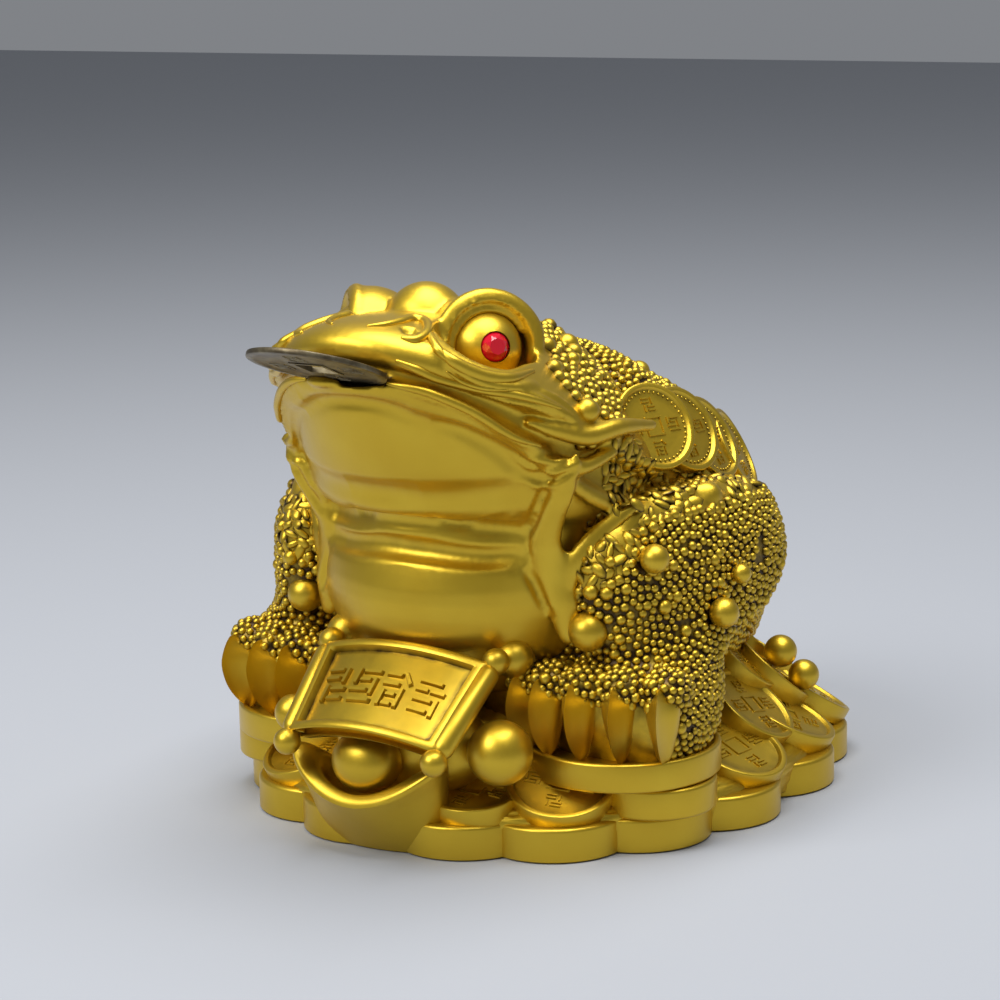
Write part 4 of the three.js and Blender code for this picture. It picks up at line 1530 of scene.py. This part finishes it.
def makeMouthCoin():
    r, t = mouthCoin["radius"], mouthCoin["thickness"]
    coin = disc(r, t, 72)
    bpy.ops.object.mode_set(mode="EDIT")
    for way in (1, -1):
        pickFlat(coin, way)
        insetFaces(mouthCoin["rim"])
        insetFaces(mouthCoin["slope"], -mouthCoin["sunk"])
    roundEdges(coin, rightAngle, mouthCoin["edge"], 2)
    bpy.ops.object.mode_set(mode="OBJECT")
    hole = mouthCoin["hole"]
    for operation, side, depth in (("UNION", hole + mouthCoin["frame"], t), ("DIFFERENCE", hole, t * 3)):
        bpy.ops.mesh.primitive_cube_add(size=0.001, scale=(side, side, depth))
        block = bpy.context.active_object
        bpy.ops.object.transform_apply(location=True, rotation=True, scale=True)
        finish(coin, "BOOLEAN", operation=operation, object=block, solver="EXACT")
        bpy.data.objects.remove(block)
    store(coin, np.zeros(len(coin.data.vertices)))
    parts = [coin]
    reach, wide, stroke, high = mouthCoin["marks"]
    lift = t / 2 - mouthCoin["sunk"] + high * 0.2
    for way in (1, -1):
        frames = []
        for lines, (x, y) in zip(marks, aroundHole):
            frames += strokeFrames(lines, (x * reach, y * reach), (wide, wide), stroke, high, lift)
        flip = np.diag((1, way, way))
        frames = [(flip @ centre, flip @ axes) for centre, axes in frames]
        parts.append(toOrigin(copies("coinStrokes", modelStroke(), frames)))
    lie = frameAt(*mouthMiddle(), (0, -1, 0.4))
    return softened(copies("mouthCoin", join("coinModel", parts), [lie]), 30)


looseCoin = makeMouthCoin()
print("loose coin made")


# materials


def tone(text):  # sRGB hex to linear
    values = [int(text[i : i + 2], 16) / 255 for i in (1, 3, 5)]
    return [v / 12.92 if v <= 0.04045 else ((v + 0.055) / 1.055) ** 2.4 for v in values] + [1.0]


def node(tree, kind, sockets=None, **settings):  # a node with its settings, values and links
    made = tree.nodes.new(kind)
    for name, value in settings.items():
        setattr(made, name, value)
    for name, value in (sockets or {}).items():
        if isinstance(value, bpy.types.NodeSocket):
            tree.links.new(value, made.inputs[name])
        else:
            made.inputs[name].default_value = value
    return made


def newMaterial(name):
    material = bpy.data.materials.new(name)
    material.use_nodes = True
    material.node_tree.nodes.clear()
    return material, material.node_tree


def perMetre(mm):  # scale of a noise whose features are about this wide
    return 1000 / mm


gold = {
    "light": "#E0C038",
    "deep": "#CFA824",
    "shadeAndWash": "#3F2B0A",
    "metallic": 0.96,
    "roughness": (0.33, 0.47),
    "coat": (0.3, 0.3),  # weight, roughness
    "cloud": 11.11,  # mm, where the spray lies thicker or thinner
    "grain": 0.3846,  # mm, the paint's flakes, drawn coarser than real ones so that they show
    "patchiness": 3.125,  # mm, patches where the painted shade and brown wash are weaker
    "shadeAndWashFrom": (0.08, 0.5),
    # rounds of evening out, mm under it that hold all the painted shade and wash, most of it
    "headCreases": (6, 1.4, 0.22),
    "bodyCreases": (6, 0.9, 0.62),
    "bump": (0.12, 0.08),  # strength, mm
}


# metallic gold paint sprayed on cast resin: satin and even on the high spots, and dark and dull in
# the hollows, creases and gaps, where painted shade lies with the brown wash
def goldPaint():
    material, tree = newMaterial("sprayedGoldOnResin")
    at = node(tree, "ShaderNodeTexCoord").outputs["Object"]
    noise = "ShaderNodeTexNoise"
    cloud = node(tree, noise, {"Vector": at, "Scale": perMetre(gold["cloud"]), "Detail": 3.0})
    grain = node(tree, noise, {"Vector": at, "Scale": perMetre(gold["grain"]), "Detail": 2.0})
    patchiness = node(tree, noise, {"Vector": at, "Scale": perMetre(gold["patchiness"]), "Detail": 4.0})
    paint = node(
        tree,
        "ShaderNodeMixRGB",
        {"Fac": cloud.outputs["Fac"], "Color1": tone(gold["deep"]), "Color2": tone(gold["light"])},
    )
    # painted shade in hollows, creases and gaps, with brown wash, stored per point
    hollow = node(tree, "ShaderNodeAttribute", attribute_name="shadeAndWash")
    both = {0: hollow.outputs["Fac"], 1: patchiness.outputs["Fac"]}
    patchy = node(tree, "ShaderNodeMath", both, operation="MULTIPLY")
    least, most = gold["shadeAndWashFrom"]
    amount = node(
        tree,
        "ShaderNodeMapRange",
        {"Value": patchy.outputs[0], "From Min": least, "From Max": most},
    )
    colour = node(
        tree,
        "ShaderNodeMixRGB",
        {"Fac": amount.outputs[0], "Color1": paint.outputs[0], "Color2": tone(gold["shadeAndWash"])},
    )
    smooth, rough = gold["roughness"]
    matt = node(
        tree,
        "ShaderNodeMapRange",
        {"Value": grain.outputs["Fac"], "To Min": smooth, "To Max": rough},
    )
    strength, depth = gold["bump"]
    bump = node(
        tree,
        "ShaderNodeBump",
        {"Height": grain.outputs["Fac"], "Strength": strength, "Distance": depth * 0.001},
    )
    shader = node(
        tree,
        "ShaderNodeBsdfPrincipled",
        {
            "Base Color": colour.outputs[0],
            "Metallic": gold["metallic"],
            "Roughness": matt.outputs[0],
            "Coat Weight": gold["coat"][0],
            "Coat Roughness": gold["coat"][1],
            "Normal": bump.outputs["Normal"],
        },
    )
    node(tree, "ShaderNodeOutputMaterial", {"Surface": shader.outputs[0]})
    return material


brass = {
    "worn": "#91866A",
    "dark": "#5C513D",
    "metallic": 0.9,
    "roughness": 0.4,
    "stains": 2.381,  # mm
    "wornFrom": (0.35, 0.7),
    "bump": (0.3, 0.1),  # strength, mm
}


def oldBrass():  # struck brass darkened with age, rubbed brighter in patches
    material, tree = newMaterial("agedStruckBrass")
    at = node(tree, "ShaderNodeTexCoord").outputs["Object"]
    size = perMetre(brass["stains"])
    stains = node(tree, "ShaderNodeTexNoise", {"Vector": at, "Scale": size, "Detail": 5.0})
    least, most = brass["wornFrom"]
    share = node(
        tree,
        "ShaderNodeMapRange",
        {"Value": stains.outputs["Fac"], "From Min": least, "From Max": most},
    )
    colour = node(
        tree,
        "ShaderNodeMixRGB",
        {"Fac": share.outputs[0], "Color1": tone(brass["dark"]), "Color2": tone(brass["worn"])},
    )
    strength, depth = brass["bump"]
    bump = node(
        tree,
        "ShaderNodeBump",
        {"Height": stains.outputs["Fac"], "Strength": strength, "Distance": depth * 0.001},
    )
    shader = node(
        tree,
        "ShaderNodeBsdfPrincipled",
        {
            "Base Color": colour.outputs[0],
            "Metallic": brass["metallic"],
            "Roughness": brass["roughness"],
            "Normal": bump.outputs["Normal"],
        },
    )
    node(tree, "ShaderNodeOutputMaterial", {"Surface": shader.outputs[0]})
    return material


stoneRed = {"body": "#E0102E", "roughness": 0.04, "ior": 1.52, "clear": 0.25, "coat": 0.6}


def cutGlass():  # pressed red glass on a foil back: clear red with sharp white glints
    material, tree = newMaterial("cutRedGlass")
    shader = node(
        tree,
        "ShaderNodeBsdfPrincipled",
        {
            "Base Color": tone(stoneRed["body"]),
            "Roughness": stoneRed["roughness"],
            "IOR": stoneRed["ior"],
            "Transmission Weight": stoneRed["clear"],
            "Coat Weight": stoneRed["coat"],
        },
    )
    node(tree, "ShaderNodeOutputMaterial", {"Surface": shader.outputs[0]})
    return material


goldMaterial = goldPaint()
brassMaterial = oldBrass()
stoneMaterial = cutGlass()


def dress(piece, material, slot, *nodes):
    piece.data.materials.clear()
    piece.data.materials.append(material)
    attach(piece, "root")
    if nodes:
        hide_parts(*nodes)


def creases(piece, rounds, full, most, extra=None):  # painted shade and brown wash by how far each point lies under its neighbours
    co, no = coords(piece), normals(piece)
    ends = np.empty(len(piece.data.edges) * 2, int)
    piece.data.edges.foreach_get("vertices", ends)
    a, b = ends.reshape(-1, 2).T
    count = np.maximum(np.bincount(a, minlength=len(co)) + np.bincount(b, minlength=len(co)), 1)[:, None]
    mean = co.copy()
    for _ in range(rounds):
        sums = [np.bincount(a, mean[b, i], len(co)) + np.bincount(b, mean[a, i], len(co)) for i in range(3)]
        mean = np.stack(sums, 1) / count
    amount = np.clip(((mean - co) * no).sum(1) * 1000 / full, 0, most)
    store(piece, amount if extra is None else np.maximum(amount, extra))


# the hollow round the coin, which gets a painted black shadow
def inMouth(p):
    centre, normal = mouthMiddle()
    lift, radii = head["mouth"]
    away = p - (centre + normal * lift)
    up = away @ normal
    flat = np.linalg.norm(away - up[:, None] * normal, axis=1)
    return ((flat / radii[0]) ** 2 + (up / radii[2]) ** 2 < 1.1) & (p[:, 1] > -64.6)


def shadeAndWashByArea(mm, *areas):  # the first area that holds a point gives its painted shade and wash
    return np.select([where(mm) for where, _ in areas], [amount for _, amount in areas], 0.0)


headMm, bodyMm = inMm(toadHead), inMm(toadBody)
# head: painted shade with brown wash in its creases and between the neck's scales, a painted black shadow
# inside the mouth
creases(toadHead, *gold["headCreases"], shadeAndWashByArea(headMm, (inMouth, 1.0), (scaledHead, 0.35)))
# body: painted shade with brown wash in its creases and in the skin between beads and scales, painted shade
# behind the claws; none on the smooth patches
below = shadeAndWashByArea(bodyMm, (beadedBody, 1.0), (behindClaws, 0.45), (scaledBody, 0.35))
creases(toadBody, *gold["bodyCreases"], np.where(clear(bodyMm, bareSpots), below, 0.0))

goldPieces = [toadHead, faceFolds, toadBody, *skinBeads, *eyeballs, *claws, wartBalls]
goldPieces += [blankTier, heapCoins, mound, pawPlates, backCoins, pearlBalls, ingotBoat, ingotEgg]
goldPieces += [scrollRest, scrollPanel, scrollStrokes, scrollRollers]
for piece in goldPieces:
    dress(piece, goldMaterial, "gold_paint", "toad_casting")
dress(looseCoin, brassMaterial, "old_brass", "mouth_coin")
dress(stones[0], stoneMaterial, "red_stone", "left_eye_stone")
dress(stones[1], stoneMaterial, "red_stone", "right_eye_stone")


# floor and light

stage = {
    "floor": "#A6A9AF",
    "floorRough": 0.8,
    "air": "#DDE1E8",
    "airStrength": 0.3,
    "aim": (0, 0, 0.05),
    # name, place, size in metres, power
    "lights": [
        ("overhead", (0.06, 0.0, 0.75), 0.6, 6.9),
        ("frontLeft", (-0.3, -0.65, 0.72), 0.5, 5.5),
    ],
}


def addStage():
    bpy.ops.mesh.primitive_plane_add(size=4, location=(0, 0, -0.0002))
    floor = bpy.context.active_object
    floor.name = "studioFloor"
    material, tree = newMaterial("pageFloor")
    look = {"Base Color": tone(stage["floor"]), "Roughness": stage["floorRough"]}
    shader = node(tree, "ShaderNodeBsdfPrincipled", look)
    node(tree, "ShaderNodeOutputMaterial", {"Surface": shader.outputs[0]})
    floor.data.materials.append(material)
    world = bpy.data.worlds.new("studioAir")
    bpy.context.scene.world = world
    world.use_nodes = True
    air = world.node_tree.nodes["Background"]
    air.inputs["Color"].default_value = tone(stage["air"])
    air.inputs["Strength"].default_value = stage["airStrength"]
    for name, where, size, power in stage["lights"]:
        light = bpy.data.lights.new(name, "AREA")
        light.size = size
        light.energy = power
        lamp = bpy.data.objects.new(name, light)
        lamp.location = where
        lamp.rotation_mode = "QUATERNION"
        way = Vector(stage["aim"]) - Vector(where)
        lamp.rotation_quaternion = way.to_track_quat("-Z", "Y")
        bpy.context.scene.collection.objects.link(lamp)


addStage()
bpy.context.scene.view_settings.view_transform = "Standard"
